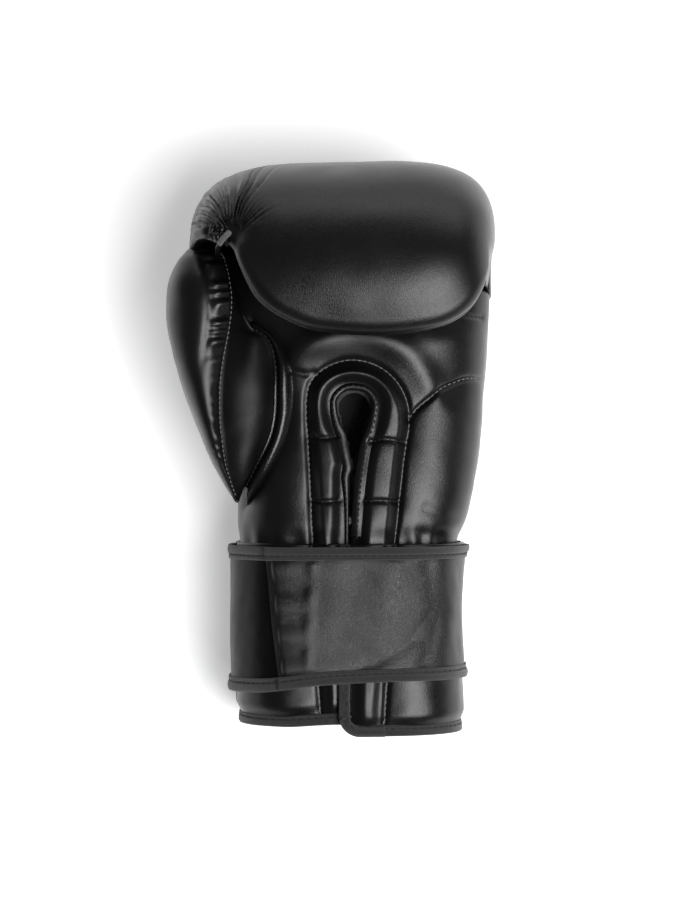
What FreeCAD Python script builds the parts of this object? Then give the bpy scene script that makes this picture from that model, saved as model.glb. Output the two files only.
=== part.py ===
"""Left-hand boxing glove with a hook-and-loop wrist strap, lying on its back with the palm up.

Frame: millimetres, +Z up out of the palm, +Y from the wrist to the knuckles, +X towards the little
finger. The origin lies on the flat patch that the padded back rests on.

The glove is a tube (cuff and palm) with a curled, padded fist on its end and a thumb on its side. The
tube's skins are super-ellipse rings: an outer cover, a foam layer, a lining and the hollow for the hand.
"""

import FreeCAD, Part

import math
import os

V = FreeCAD.Vector

# ---- lengths along the glove
CUFF_END_Y = -148.8        # the wrist opening, without its binding
CUFF_TOP_Y = -48.0         # where the cuff's two palm-side flaps end
KNUCKLE_Y = 85.0           # the tube ends and the fist begins
HEEL_TOP_Y = 28.0          # top of the heel pads
ORIGIN_Y = 45.0            # the flattest part of the back

# ---- outer size of the tube
CUFF_HALF_WIDTH = 60.0
HEEL_HALF_WIDTH = 66.0
PALM_HALF_WIDTH = 71.0
KNUCKLE_HALF_WIDTH = 75.0
CUFF_CENTRE_X = 9.5
PALM_CENTRE_X = 11.0
KNUCKLE_CENTRE_X = 8.0
CUFF_LOW_Z = 3.0
CUFF_HIGH_Z = 85.0
PALM_LOW_Z = -0.8
PALM_HIGH_Z = 86.0
KNUCKLE_LOW_Z = 5.0
KNUCKLE_HIGH_Z = 84.0
SPLIT_Z = 45.0             # side seam between the back half and the palm half
ROUNDNESS = 2.6            # exponent of the rings

# ---- layers
COVER = 1.2                # leather
SOLE_Z = 4.0               # the back's centre panel lies below this
SOLE_DEPTH = 0.6           # of the flat patch under the back
LINING = 0.8               # fabric
JOINT_GAP = 0.3            # between bodies that move on each other
SEAM_GAP = 0.15            # between pads that are sewn side by side

# ---- the hollow for the hand
MOUTH_HALF_WIDTH = 47.0
WRIST_HALF_WIDTH = 42.0
HAND_HALF_WIDTH = 47.0
HAND_CENTRE_X = 12.5
MOUTH_LOW_Z = 14.0
MOUTH_HIGH_Z = 73.0
WRIST_LOW_Z = 20.0
WRIST_HIGH_Z = 70.0
HAND_LOW_Z = 32.0
HAND_HIGH_Z = 73.0
FINGER_ROOT_LOW_Z = 41.0
FINGER_ROOT_HIGH_Z = 75.0

# ---- palm slit with its keyhole, and the padded channel round it
KEYHOLE_X = 12.4
KEYHOLE_Y = 21.6
KEYHOLE_R = 8.2
SLIT_X = 9.0
SLIT_GAP = 1.5
SLIT_SHUT_Y = -12.0        # below this the slit's edges meet
CHANNEL_HALF_WIDTH = 24.5
BINDING_WIDTH = 4.0        # bound edge round the slit
BINDING_HEIGHT = 1.2

# ---- cuff binding
CUFF_BINDING_WIDTH = 8.0
CUFF_BINDING_HEIGHT = 1.2

# ---- strap
STRAP_TOP_Y = -50.0
STRAP_WIDTH = 74.0
STRAP_LIFT = 2.3           # its underside above the cuff's leather
STRAP_THICK = 2.0
STRAP_EDGE_WIDTH = 7.0
STRAP_EDGE_BELOW = 0.4     # how far the edge binding wraps below and above the leather
STRAP_EDGE_ABOVE = 0.5
TAPE_THICK = 1.0
TAPE_MARGIN = 9.0          # from the strap's edge to the hook tape
STRAP_HINGE_ANGLES = (0.0, 33.0, 147.0)    # round the cuff from +X towards +Z
STRAP_SEWN_ANGLE = -24.0
STRAP_END_ANGLE = 206.0
LOOP_ANGLES = (150.0, 334.0)

# ---- fist: a padded roll turned about an axis along X
CURL_Z = 71.0
FIST_RADIUS = 65.0
FIST_LEFT_X = -74.0
FIST_RIGHT_X = 85.0
FIST_ROUND = 27.0
FIST_END_ANGLE = 122.0     # the roll runs from straight down, past the front, to here
FOAM_LAYER_RADIUS = 49.0   # dense foam inside this, soft foam outside
FINGER_RADIUS = 33.0
FINGER_LEFT_X = -34.0
FINGER_RIGHT_X = 62.0
FINGER_ROUND = 8.0
FINGER_END_ANGLE = 104.0
CREASE_RADIUS = 19.5
PAD_CENTRE_X = 20.0        # outline of the finger pad, seen from the palm
PAD_CENTRE_Y = 112.0
PAD_HALF_WIDTH = 64.5
PAD_REACH = 51.5
PAD_FLOOR_Z = 88.0
GRIP_BAR_RADIUS = 7.5
GRIP_BAR_COVER = 1.0
GRIP_BAR_Y = 93.0
GRIP_BAR_Z = 71.0

# ---- thumb: ellipses from its base to its tip
THUMB_BASE_Y = -27.0
THUMB_TIP_Y = 105.5
THUMB_HALF_WIDTH = 24.5
THUMB_HALF_HEIGHT = THUMB_HALF_WIDTH + 2.5
THUMB_X = -60.5
THUMB_Z = 78.0
THUMB_FOAM = 12.0
THUMB_SEAM_X = -53.0
THUMB_CLEAR = 1.7
THUMB_PAST_PALM = 9.0      # it stays as clear of the palm this far beyond the palm's end
TAB_X = -49.0              # loop between thumb and fist
TAB_WIDTH = 8.0
TAB_LENGTH = 11.0
THUMB_PORT_Y = 28.0
THUMB_PORT_Z = 64.0
THUMB_PORT_R = 10.0
NOTCH_X = -38.0            # the fist is cut back here for the thumb's tip
NOTCH_Y = 108.5
NOTCH_Z = 36.0

FAR = 200.0                # larger than the glove
RING_POINTS = 24

STRAP_LOW_Y = STRAP_TOP_Y - STRAP_WIDTH
CUFF_MID_Z = (CUFF_LOW_Z + CUFF_HIGH_Z) / 2
STRAP_OUTER = STRAP_LIFT + STRAP_THICK + STRAP_EDGE_ABOVE


# ------------------------------------------------------------------ helpers
def box(x0, x1, y0, y1, z0, z1):
    return Part.makeBox(x1 - x0, y1 - y0, z1 - z0, V(x0, y0, z0))


def prism_xy(points, z0, z1):
    """Solid over a polygon in the XY plane."""
    loop = [V(x, y, z0) for x, y in points]
    return Part.Face(Part.makePolygon(loop + loop[:1])).extrude(V(0, 0, z1 - z0))


def ring(y, centre_x, half_width, low, high, grow=0.0):
    """Closed super-ellipse wire across the glove at y, grown outwards by grow."""
    a = half_width + grow
    b = (high - low) / 2 + grow
    mid = (low + high) / 2
    power = 2 / ROUNDNESS
    points = []
    for k in range(RING_POINTS):
        t = 2 * math.pi * k / RING_POINTS
        c, s = math.cos(t), math.sin(t)
        points.append(V(centre_x + a * math.copysign(abs(c) ** power, c), y,
                        mid + b * math.copysign(abs(s) ** power, s)))
    curve = Part.BSplineCurve()
    curve.interpolate(Points=points, PeriodicFlag=True)
    return Part.Wire([curve.toShape()])


def loft(rings):
    return Part.makeLoft(rings, True, False)


def cuff_solid(grow, low_y, high_y):
    """The straight cuff, grown by grow, from low_y to high_y."""
    face = Part.Face(ring(low_y, CUFF_CENTRE_X, CUFF_HALF_WIDTH, CUFF_LOW_Z, CUFF_HIGH_Z, grow))
    return face.extrude(V(0, high_y - low_y, 0))


def palm_solid(grow):
    """The tube from the cuff's top to the knuckles, grown by grow."""
    heel_y = (CUFF_TOP_Y + HEEL_TOP_Y) / 2 - 5
    end_y = KNUCKLE_Y - JOINT_GAP
    rows = (
        (CUFF_TOP_Y, CUFF_CENTRE_X, CUFF_HALF_WIDTH, CUFF_LOW_Z, CUFF_HIGH_Z),
        (heel_y, CUFF_CENTRE_X + 1, HEEL_HALF_WIDTH, CUFF_LOW_Z, CUFF_HIGH_Z),
        (HEEL_TOP_Y, PALM_CENTRE_X, PALM_HALF_WIDTH - 1, PALM_LOW_Z / 2, PALM_HIGH_Z),
        (ORIGIN_Y + 12, PALM_CENTRE_X, PALM_HALF_WIDTH + 1, PALM_LOW_Z, PALM_HIGH_Z),
        (end_y, KNUCKLE_CENTRE_X, KNUCKLE_HALF_WIDTH, KNUCKLE_LOW_Z, KNUCKLE_HIGH_Z),
    )
    return loft([ring(*row, grow=grow) for row in rows])


def hollow_solid(grow, low_y=CUFF_END_Y):
    """The hollow for the hand, from the wrist opening to the knuckles."""
    end_y = KNUCKLE_Y - JOINT_GAP
    rows = (
        (low_y, CUFF_CENTRE_X, MOUTH_HALF_WIDTH, MOUTH_LOW_Z, MOUTH_HIGH_Z),
        ((CUFF_END_Y + CUFF_TOP_Y) / 2, CUFF_CENTRE_X, WRIST_HALF_WIDTH + 2, WRIST_LOW_Z - 3, WRIST_HIGH_Z),
        (CUFF_TOP_Y, CUFF_CENTRE_X, WRIST_HALF_WIDTH, WRIST_LOW_Z + 2, WRIST_HIGH_Z),
        (0.0, HAND_CENTRE_X, HAND_HALF_WIDTH, HAND_LOW_Z, HAND_HIGH_Z),
        (end_y, HAND_CENTRE_X, HAND_HALF_WIDTH, FINGER_ROOT_LOW_Z, FINGER_ROOT_HIGH_Z),
    )
    return loft([ring(*row, grow=grow) for row in rows])


def cuff_point(angle, grow):
    """(x, z) on the cuff's ring, grown by grow, on the ray at angle from its centre."""
    a = CUFF_HALF_WIDTH + grow
    b = (CUFF_HIGH_Z - CUFF_LOW_Z) / 2 + grow
    c, s = math.cos(math.radians(angle)), math.sin(math.radians(angle))
    reach = (abs(c / a) ** ROUNDNESS + abs(s / b) ** ROUNDNESS) ** (-1 / ROUNDNESS)
    return CUFF_CENTRE_X + reach * c, CUFF_MID_Z + reach * s


def sector(angle0, angle1, y0, y1, gap=0.0):
    """Wedge about the cuff's centre line, drawn in by gap at each flat side."""
    steps = 1 + int((angle1 - angle0) // 60)
    rays = [math.radians(angle0 + (angle1 - angle0) * k / steps) for k in range(steps + 1)]
    points = [(0.0, 0.0)] + [(FAR * math.cos(t), FAR * math.sin(t)) for t in rays]
    loop = [V(CUFF_CENTRE_X + x, y0, CUFF_MID_Z + z) for x, z in points]
    wedge = Part.Face(Part.makePolygon(loop + loop[:1])).extrude(V(0, y1 - y0, 0))
    if gap:
        for t, side in ((rays[0], -1), (rays[-1], 1)):
            plate = box(0, FAR, y0 - 1, y1 + 1, -gap if side > 0 else -FAR / 10, gap if side < 0 else FAR / 10)
            plate.rotate(V(0, 0, 0), V(0, -1, 0), math.degrees(t))
            plate.translate(V(CUFF_CENTRE_X, 0, CUFF_MID_Z))
            wedge = wedge.cut(plate)
    return wedge


def solids_only(shape, smallest=5.0):
    """The shape's solids above a few cubic millimetres, as one compound."""
    kept = [s for s in shape.Solids if s.Volume > smallest]
    return kept[0] if len(kept) == 1 else Part.makeCompound(kept)


# ------------------------------------------------------------------ regions of the palm
def slit_tool(grow=0.0):
    """The slit and its keyhole, right through the palm half."""
    half = SLIT_GAP / 2 + grow
    flare = KEYHOLE_R * 0.86 + grow
    narrow = prism_xy([(SLIT_X - half, -FAR), (SLIT_X + half, -FAR), (SLIT_X + half + 0.9, SLIT_SHUT_Y),
                       (KEYHOLE_X + flare, KEYHOLE_Y - KEYHOLE_R * 0.5), (KEYHOLE_X - flare, KEYHOLE_Y - KEYHOLE_R * 0.5),
                       (SLIT_X - half + 0.9, SLIT_SHUT_Y)], SPLIT_Z, FAR)
    hole = Part.makeCylinder(KEYHOLE_R + grow, FAR, V(KEYHOLE_X, KEYHOLE_Y, SPLIT_Z))
    return narrow.fuse(hole)


def channel_tool(grow=0.0):
    """The arch-shaped channel round the slit."""
    half = CHANNEL_HALF_WIDTH + grow
    legs = box(KEYHOLE_X - half, KEYHOLE_X + half, -FAR, KEYHOLE_Y, SPLIT_Z + 1, FAR)
    arch = Part.makeCylinder(half, FAR, V(KEYHOLE_X, KEYHOLE_Y, SPLIT_Z + 1))
    return legs.fuse(arch)


def thumb_port():
    """The way from the hollow into the thumb."""
    return Part.makeCylinder(THUMB_PORT_R, 40, V(-62, THUMB_PORT_Y, THUMB_PORT_Z), V(1, 0, 0))


# ------------------------------------------------------------------ tube
def build_tube(nodes):
    tube_box = box(-FAR, FAR, CUFF_TOP_Y, KNUCKLE_Y - JOINT_GAP, 0, FAR)
    outer, inner = palm_solid(0), palm_solid(-COVER)
    lined, hollow = hollow_solid(LINING), hollow_solid(0)
    layers = {"cover": outer.cut(inner), "foam": inner.cut(lined), "lining": lined.cut(hollow)}
    port, slit, channel = thumb_port(), slit_tool(), channel_tool()
    channel_grown = channel_tool(SEAM_GAP)
    back = box(-FAR, FAR, -FAR, FAR, -FAR, SPLIT_Z)
    above = box(-FAR, FAR, -FAR, FAR, SPLIT_Z, FAR)
    zones = {
        "thumb_heel": box(-FAR, KEYHOLE_X, -FAR, HEEL_TOP_Y - SEAM_GAP, SPLIT_Z, FAR).cut(channel_grown),
        "pinky_heel": box(KEYHOLE_X, FAR, -FAR, HEEL_TOP_Y - SEAM_GAP, SPLIT_Z, FAR).cut(channel_grown),
        "palm_top": box(-FAR, FAR, HEEL_TOP_Y, FAR, SPLIT_Z, FAR).cut(channel_grown),
        "slit_channel": channel.cut(slit),
    }
    for layer in ("cover", "foam"):
        shape = layers[layer].common(tube_box)
        half = shape.common(back)
        if layer == "foam":
            half = half.common(box(-FAR, FAR, -FAR, FAR, SOLE_DEPTH, FAR))
        nodes["back_" + layer] = half
        half = shape.common(above).cut(port)
        for zone, tool in zones.items():
            nodes[zone + "_" + layer] = half.common(tool)
    sole = box(-FAR, FAR, -FAR, FAR, 0, SOLE_Z)
    cover = nodes.pop("back_cover")
    nodes["back_side_cover"] = cover.cut(sole)
    nodes["back_centre_cover"] = cover.common(sole).fuse(inner.common(box(-FAR, FAR, -FAR, FAR, 0, SOLE_DEPTH)))
    lining = layers["lining"].common(tube_box)
    nodes["back_lining"] = lining.common(back)
    nodes["palm_lining"] = lining.common(above).cut(port).cut(slit)
    shell = palm_solid(BINDING_HEIGHT).cut(outer).common(tube_box).common(above)
    nodes["slit_binding"] = shell.common(slit_tool(BINDING_WIDTH).cut(slit))
    gusset = thumb_ring(26.0, 48.0).cut(thumb_ring(19.5, 42.0))
    nodes["thumb_gusset"] = shell.common(gusset).common(box(-44, 0, -FAR, FAR, 0, FAR))
    return outer


def thumb_ring(half_width, half_length):
    """Solid ellipse round the thumb's foot, seen from the palm."""
    major = Part.Ellipse(V(-47, 22, SPLIT_Z + 8), half_length, half_width)
    edge = major.toShape()
    edge.rotate(V(-47, 22, 0), V(0, 0, 1), 90)
    return Part.Face(Part.Wire([edge])).extrude(V(0, 0, FAR))


# ------------------------------------------------------------------ cuff
def build_cuff(nodes):
    start, end = CUFF_END_Y, CUFF_TOP_Y
    outer = cuff_solid(0, start, end)
    inner = cuff_solid(-COVER, start, end)
    lined, hollow = hollow_solid(LINING), hollow_solid(0)
    band = box(-FAR, FAR, start, end, -FAR, FAR)
    layers = {"cover": outer.cut(inner), "foam": inner.cut(lined), "lining": lined.cut(hollow).common(band)}
    slit = slit_tool()
    flap_top = end - JOINT_GAP
    low_side = SPLIT_Z + JOINT_GAP
    back = box(-FAR, FAR, -FAR, end - SEAM_GAP, -FAR, SPLIT_Z)
    flaps = {
        "cuff_thumb": box(-FAR, SLIT_X, -FAR, flap_top, low_side, FAR).cut(slit),
        "cuff_pinky": box(SLIT_X, FAR, -FAR, flap_top, low_side, FAR).cut(slit),
    }
    for layer, shape in layers.items():
        nodes["cuff_back_" + layer] = shape.common(back)
        for flap, tool in flaps.items():
            nodes[flap + "_" + layer] = shape.common(tool)
    lip_y = start - CUFF_BINDING_HEIGHT
    rim = cuff_solid(CUFF_BINDING_HEIGHT, lip_y, start + CUFF_BINDING_WIDTH)
    rim = rim.cut(outer).cut(hollow_solid(0, lip_y - 1))
    nodes["cuff_back_binding"] = rim.common(back)
    slit_shell = cuff_solid(BINDING_HEIGHT, start + CUFF_BINDING_WIDTH, flap_top).cut(outer)
    for flap, tool in flaps.items():
        edge = slit_shell.common(slit_tool(BINDING_WIDTH)).common(tool)
        nodes[flap + "_binding"] = rim.common(tool).fuse(edge)
    tape = cuff_solid(TAPE_THICK, start + CUFF_BINDING_WIDTH + 2, STRAP_TOP_Y - 2).cut(outer)
    nodes["loop_tape"] = tape.common(sector(LOOP_ANGLES[0] + 30, LOOP_ANGLES[1], -FAR, FAR)).common(back)


# ------------------------------------------------------------------ strap
def strap_shell(grow0, grow1, y0, y1):
    return cuff_solid(grow1, y0, y1).cut(cuff_solid(grow0, y0 - 1, y1 + 1))


def build_strap(nodes):
    leather = strap_shell(STRAP_LIFT, STRAP_LIFT + STRAP_THICK, STRAP_LOW_Y + STRAP_EDGE_WIDTH, STRAP_TOP_Y - STRAP_EDGE_WIDTH)
    low, high = STRAP_LIFT - STRAP_EDGE_BELOW, STRAP_OUTER
    edges = {
        "top_binding": strap_shell(low, high, STRAP_TOP_Y - STRAP_EDGE_WIDTH, STRAP_TOP_Y),
        "low_binding": strap_shell(low, high, STRAP_LOW_Y, STRAP_LOW_Y + STRAP_EDGE_WIDTH),
    }
    hinge0, hinge1, hinge2 = STRAP_HINGE_ANGLES
    spans = {
        "strap_side": (hinge0, hinge1),
        "strap_palm": (hinge1, hinge2),
        "strap_tail": (hinge2, STRAP_END_ANGLE),
    }
    for name, (angle0, angle1) in spans.items():
        tool = sector(angle0, angle1, -FAR, FAR, JOINT_GAP / 2)
        nodes[name + "_leather"] = leather.common(tool)
        for edge, shape in edges.items():
            nodes[name + "_" + edge] = shape.common(tool)
    tape = strap_shell(STRAP_LIFT - TAPE_THICK, STRAP_LIFT, STRAP_LOW_Y + TAPE_MARGIN, STRAP_TOP_Y - TAPE_MARGIN)
    nodes["hook_tape"] = tape.common(sector(hinge2 + 12, STRAP_END_ANGLE - 2, -FAR, FAR))
    sewn = strap_shell(0, STRAP_LIFT + STRAP_THICK, STRAP_LOW_Y, STRAP_TOP_Y)
    nodes["strap_anchor"] = sewn.common(sector(STRAP_SEWN_ANGLE, hinge0, -FAR, FAR, JOINT_GAP / 2))


# ------------------------------------------------------------------ fist
def roll_face(x0, x1, radius, rounding):
    """Half section of the fist's roll, hanging straight down from the curl axis."""
    top, low = CURL_Z, CURL_Z - radius
    y = KNUCKLE_Y
    k = rounding * (1 - math.sqrt(0.5))
    a, b = V(x0, y, top), V(x1, y, top)
    c, d = V(x1, y, low + rounding), V(x1 - rounding, y, low)
    e, f = V(x0 + rounding, y, low), V(x0, y, low + rounding)
    edges = [Part.LineSegment(a, b), Part.LineSegment(b, c), Part.Arc(c, V(x1 - k, y, low + k), d),
             Part.LineSegment(d, e), Part.Arc(e, V(x0 + k, y, low + k), f), Part.LineSegment(f, a)]
    return Part.Face(Part.Wire([edge.toShape() for edge in edges]))


def roll(x0, x1, radius, rounding, end_angle):
    return roll_face(x0, x1, radius, rounding).revolve(V(0, KNUCKLE_Y, CURL_Z), V(1, 0, 0), 90 + end_angle)


def pad_trim(inset):
    """What the finger pad's outline leaves out above the palm, and the notch for the thumb's tip."""
    z0 = PAD_FLOOR_Z - inset
    slab = box(-FAR, FAR, 0, PAD_CENTRE_Y, z0, FAR)
    outline = Part.Ellipse(V(PAD_CENTRE_X, PAD_CENTRE_Y, z0 - 1), PAD_HALF_WIDTH - inset, PAD_REACH - inset)
    pad = Part.Face(Part.Wire([outline.toShape()])).extrude(V(0, 0, FAR))
    notch = box(-FAR, NOTCH_X + inset, 0, NOTCH_Y + inset, NOTCH_Z - inset, FAR)
    return slab.cut(pad), notch


def build_fist(nodes):
    core = Part.makeCylinder(CREASE_RADIUS, FAR * 2, V(-FAR, KNUCKLE_Y, CURL_Z), V(1, 0, 0))
    core = core.common(box(-FAR, FAR, 0, KNUCKLE_Y, -FAR, FAR))
    outer = roll(FIST_LEFT_X, FIST_RIGHT_X, FIST_RADIUS, FIST_ROUND, FIST_END_ANGLE).cut(core)
    skin_angle = math.degrees(COVER / FIST_RADIUS) * 1.5
    foam = roll(FIST_LEFT_X + COVER, FIST_RIGHT_X - COVER, FIST_RADIUS - COVER, FIST_ROUND - COVER,
                FIST_END_ANGLE - skin_angle).cut(core)
    for tool in pad_trim(0):
        outer = outer.cut(tool)
    for tool in pad_trim(COVER):
        foam = foam.cut(tool)
    lined = roll(FINGER_LEFT_X, FINGER_RIGHT_X, FINGER_RADIUS, FINGER_ROUND, FINGER_END_ANGLE)
    hollow = roll(FINGER_LEFT_X + LINING, FINGER_RIGHT_X - LINING, FINGER_RADIUS - LINING, FINGER_ROUND - LINING,
                  FINGER_END_ANGLE - 1)
    nodes["fist_cover"] = outer.cut(foam).cut(lined)
    dense = roll(FINGER_LEFT_X - 15, FINGER_RIGHT_X + 12, FOAM_LAYER_RADIUS, FINGER_ROUND + 8, FIST_END_ANGLE + 20)
    padding = foam.cut(lined)
    nodes["fist_soft_foam"] = padding.cut(dense)
    nodes["fist_dense_foam"] = padding.common(dense)
    front = box(-FAR, FAR, KNUCKLE_Y, FAR, -FAR, FAR)
    nodes["finger_lining"] = lined.cut(hollow).common(front)
    bar_x, bar_length = FINGER_LEFT_X + LINING, FINGER_RIGHT_X - FINGER_LEFT_X - 2 * LINING
    start = V(bar_x, GRIP_BAR_Y, GRIP_BAR_Z)
    bar = Part.makeCylinder(GRIP_BAR_RADIUS, bar_length, start, V(1, 0, 0))
    bar_core = Part.makeCylinder(GRIP_BAR_RADIUS - GRIP_BAR_COVER, bar_length, start, V(1, 0, 0))
    nodes["grip_bar_foam"] = bar_core
    nodes["grip_bar_cover"] = bar.cut(bar_core)


# ------------------------------------------------------------------ thumb
def thumb_solid(inset):
    """The thumb's outer form, drawn in by inset."""
    length = THUMB_TIP_Y - THUMB_BASE_Y
    rows = ((0.0, 0.14, 12.0, -12.0), (0.13, 0.52, 9.0, -8.0), (0.38, 0.90, 4.5, -2.0), (0.66, 1.0, 0.0, 0.0),
            (0.86, 0.86, -0.5, 1.0), (0.96, 0.56, -1.5, 1.0), (1.0, 0.20, -2.0, 1.0))
    rings = []
    for share, size, shift_x, shift_z in rows:
        y = THUMB_BASE_Y + inset + (length - 2 * inset) * share
        half_width = max(THUMB_HALF_WIDTH * size - inset, 1.0)
        half_height = max(THUMB_HALF_HEIGHT * size - inset, 1.2)
        centre = V(THUMB_X + shift_x, y, THUMB_Z + shift_z)
        ellipse = Part.Ellipse(centre, half_height, half_width)
        edge = ellipse.toShape()
        edge.rotate(centre, V(1, 0, 0), 90)
        edge.rotate(centre, V(0, 1, 0), 90)
        rings.append(Part.Wire([edge]))
    return loft(rings)


def build_thumb(nodes):
    end_y = KNUCKLE_Y - JOINT_GAP
    palm_end = ring(end_y, KNUCKLE_CENTRE_X, KNUCKLE_HALF_WIDTH, KNUCKLE_LOW_Z, KNUCKLE_HIGH_Z, THUMB_CLEAR)
    keep_off = palm_solid(THUMB_CLEAR).fuse(Part.Face(palm_end).extrude(V(0, THUMB_PAST_PALM, 0)))
    outer, foam = thumb_solid(0), thumb_solid(COVER)
    lined, hollow = thumb_solid(THUMB_FOAM - LINING), thumb_solid(THUMB_FOAM)
    port = thumb_port()
    cover = outer.cut(foam).cut(keep_off).cut(port)
    nodes["thumb_outer_cover"] = cover.common(box(-FAR, THUMB_SEAM_X, -FAR, FAR, -FAR, FAR))
    nodes["thumb_inner_cover"] = cover.common(box(THUMB_SEAM_X + SEAM_GAP, FAR, -FAR, FAR, -FAR, FAR))
    nodes["thumb_foam"] = foam.cut(lined).cut(keep_off).cut(port)
    nodes["thumb_lining"] = lined.cut(hollow).cut(keep_off).cut(port)
    tab = box(TAB_X - TAB_WIDTH / 2, TAB_X + TAB_WIDTH / 2, NOTCH_Y - TAB_LENGTH - 1, NOTCH_Y - 1,
              THUMB_Z + 8, THUMB_Z + 14)
    nodes["thumb_lock_tab"] = tab.cut(outer)


def main():
    nodes = {}
    build_tube(nodes)
    build_cuff(nodes)
    build_strap(nodes)
    build_fist(nodes)
    build_thumb(nodes)
    os.makedirs("parts", exist_ok=True)
    for name in sorted(nodes):
        shape = solids_only(nodes[name])
        shape.exportStep("parts/%s.step" % name)
        print("%-26s %d solids %9.0f mm3 valid %s" % (name, len(shape.Solids), shape.Volume, shape.isValid()))
    for angle in STRAP_HINGE_ANGLES:
        print("strap hinge at %g degrees: x %.2f z %.2f" % (angle, *cuff_point(angle, STRAP_OUTER)))


main()
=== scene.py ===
"""Looks of the left-hand boxing glove: leather, padding, seams, thread, tapes and linings.

Sizes are in millimetres in the row frame until a mesh is made, which turns them into metres.
Every sewn surface is a grid of points. Seams are short curves on it: the leather sinks towards a seam
and swells between seams, and the thread is laid along the same curves.
"""

import math

import bpy
import numpy as np
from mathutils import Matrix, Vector


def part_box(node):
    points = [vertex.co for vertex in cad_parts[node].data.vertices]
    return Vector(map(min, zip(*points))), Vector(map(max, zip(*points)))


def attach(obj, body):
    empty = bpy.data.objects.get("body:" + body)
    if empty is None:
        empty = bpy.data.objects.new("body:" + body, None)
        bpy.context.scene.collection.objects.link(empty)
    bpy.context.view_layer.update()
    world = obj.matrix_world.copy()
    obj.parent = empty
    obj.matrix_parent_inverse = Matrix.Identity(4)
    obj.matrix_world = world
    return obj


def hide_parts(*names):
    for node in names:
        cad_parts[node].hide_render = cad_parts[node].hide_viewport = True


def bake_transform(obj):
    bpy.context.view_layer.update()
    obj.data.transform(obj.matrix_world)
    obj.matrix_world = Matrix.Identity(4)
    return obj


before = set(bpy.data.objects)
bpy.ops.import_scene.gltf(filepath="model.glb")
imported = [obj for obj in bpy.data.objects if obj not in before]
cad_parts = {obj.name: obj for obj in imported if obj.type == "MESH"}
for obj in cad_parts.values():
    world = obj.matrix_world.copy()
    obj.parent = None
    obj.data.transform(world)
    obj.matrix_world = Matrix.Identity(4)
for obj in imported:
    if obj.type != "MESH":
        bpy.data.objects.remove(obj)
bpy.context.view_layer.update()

MM = 0.001


def node_box(name):
    lo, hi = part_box(name)
    return np.array(lo) / MM, np.array(hi) / MM


# ---- places taken from the frame
FIST_LO, FIST_HI = node_box("fist_cover")
CUFF_LO, CUFF_HI = node_box("cuff_back_cover")
BACK_LO, BACK_HI = node_box("back_side_cover")
FLAP_TOP_Z = node_box("cuff_pinky_cover")[1][2]
PALM_RIGHT = node_box("palm_top_cover")[1][0]
STRAP_TOP_Y = node_box("strap_palm_top_binding")[1][1]
STRAP_FOOT_Y = node_box("strap_palm_low_binding")[0][1]

CUFF_MOUTH_Y = node_box("cuff_back_binding")[0][1]
CUFF_TOP_Y = BACK_LO[1]
KNUCKLE_Y = BACK_HI[1]
CUFF_LEFT, CUFF_RIGHT = CUFF_LO[0], CUFF_HI[0]
SPLIT_Z = BACK_HI[2]
FIST_RADIUS = FIST_HI[1] - KNUCKLE_Y
CURL_Z = FIST_LO[2] + FIST_RADIUS
CURL = np.array([KNUCKLE_Y, CURL_Z])
ROUNDNESS = 2.6
LEATHER = 1.3              # thickness of the sewn leather
TAPE = 0.8                 # thickness of linings and strap leather
FLOOR_DROP = 0.0002        # metres, so that the floor and the glove don't share a plane


# ------------------------------------------------------------------ numbers
def curve(points, count):
    """Even points along a smooth curve through a few given ones."""
    p = np.array(points, float)
    p = np.vstack([2 * p[0] - p[1], p, 2 * p[-1] - p[-2]])
    fine = []
    for a, b, c, d in zip(p[:-3], p[1:-2], p[2:-1], p[3:]):
        t = np.linspace(0, 1, 24, endpoint=False)[:, None]
        fine.append(0.5 * (2 * b + (c - a) * t + (2 * a - 5 * b + 4 * c - d) * t ** 2
                           + (3 * b - a - 3 * c + d) * t ** 3))
    fine = np.vstack(fine + [p[-2][None]])
    along = np.concatenate([[0], np.cumsum(np.linalg.norm(np.diff(fine, axis=0), axis=1))])
    want = np.linspace(0, along[-1], count)
    return np.stack([np.interp(want, along, fine[:, k]) for k in range(fine.shape[1])], 1)


def table(x, xs, values):
    """Smooth value at x between listed stations."""
    xs, v = np.array(xs, float), np.array(values, float)
    slope = np.gradient(v, xs)
    x = np.clip(x, xs[0], xs[-1])
    k = np.clip(np.searchsorted(xs, x, side="right") - 1, 0, len(xs) - 2)
    h = xs[k + 1] - xs[k]
    t = (x - xs[k]) / h
    return ((2 * t ** 3 - 3 * t ** 2 + 1) * v[k] + (t ** 3 - 2 * t ** 2 + t) * h * slope[k]
            + (3 * t ** 2 - 2 * t ** 3) * v[k + 1] + (t ** 3 - t ** 2) * h * slope[k + 1])


def step(a, b, x):
    t = np.clip((x - a) / (b - a), 0, 1)
    return t * t * (3 - 2 * t)


def bump(x, centre, width):
    return np.exp(-((x - centre) / width) ** 2)


def gap_to(points, line):
    """Distance of every point from a polyline, of the same number of coordinates."""
    flat = points.reshape(-1, points.shape[-1])
    best = np.full(len(flat), 1e9)
    for a, b in zip(line[:-1], line[1:]):
        ab = b - a
        t = np.clip((flat - a) @ ab / max(ab @ ab, 1e-9), 0, 1)
        best = np.minimum(best, np.linalg.norm(flat - a - t[:, None] * ab, axis=1))
    return best.reshape(points.shape[:-1])


def seam(points, line, depth=2.0, reach=5.0, crease=1.4):
    """How far leather sinks beside a seam: a broad slope and a tight crease at the thread."""
    d = gap_to(points, line)
    return depth * (0.55 * np.exp(-d / reach) + 0.45 * np.exp(-(d / crease) ** 2))


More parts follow.
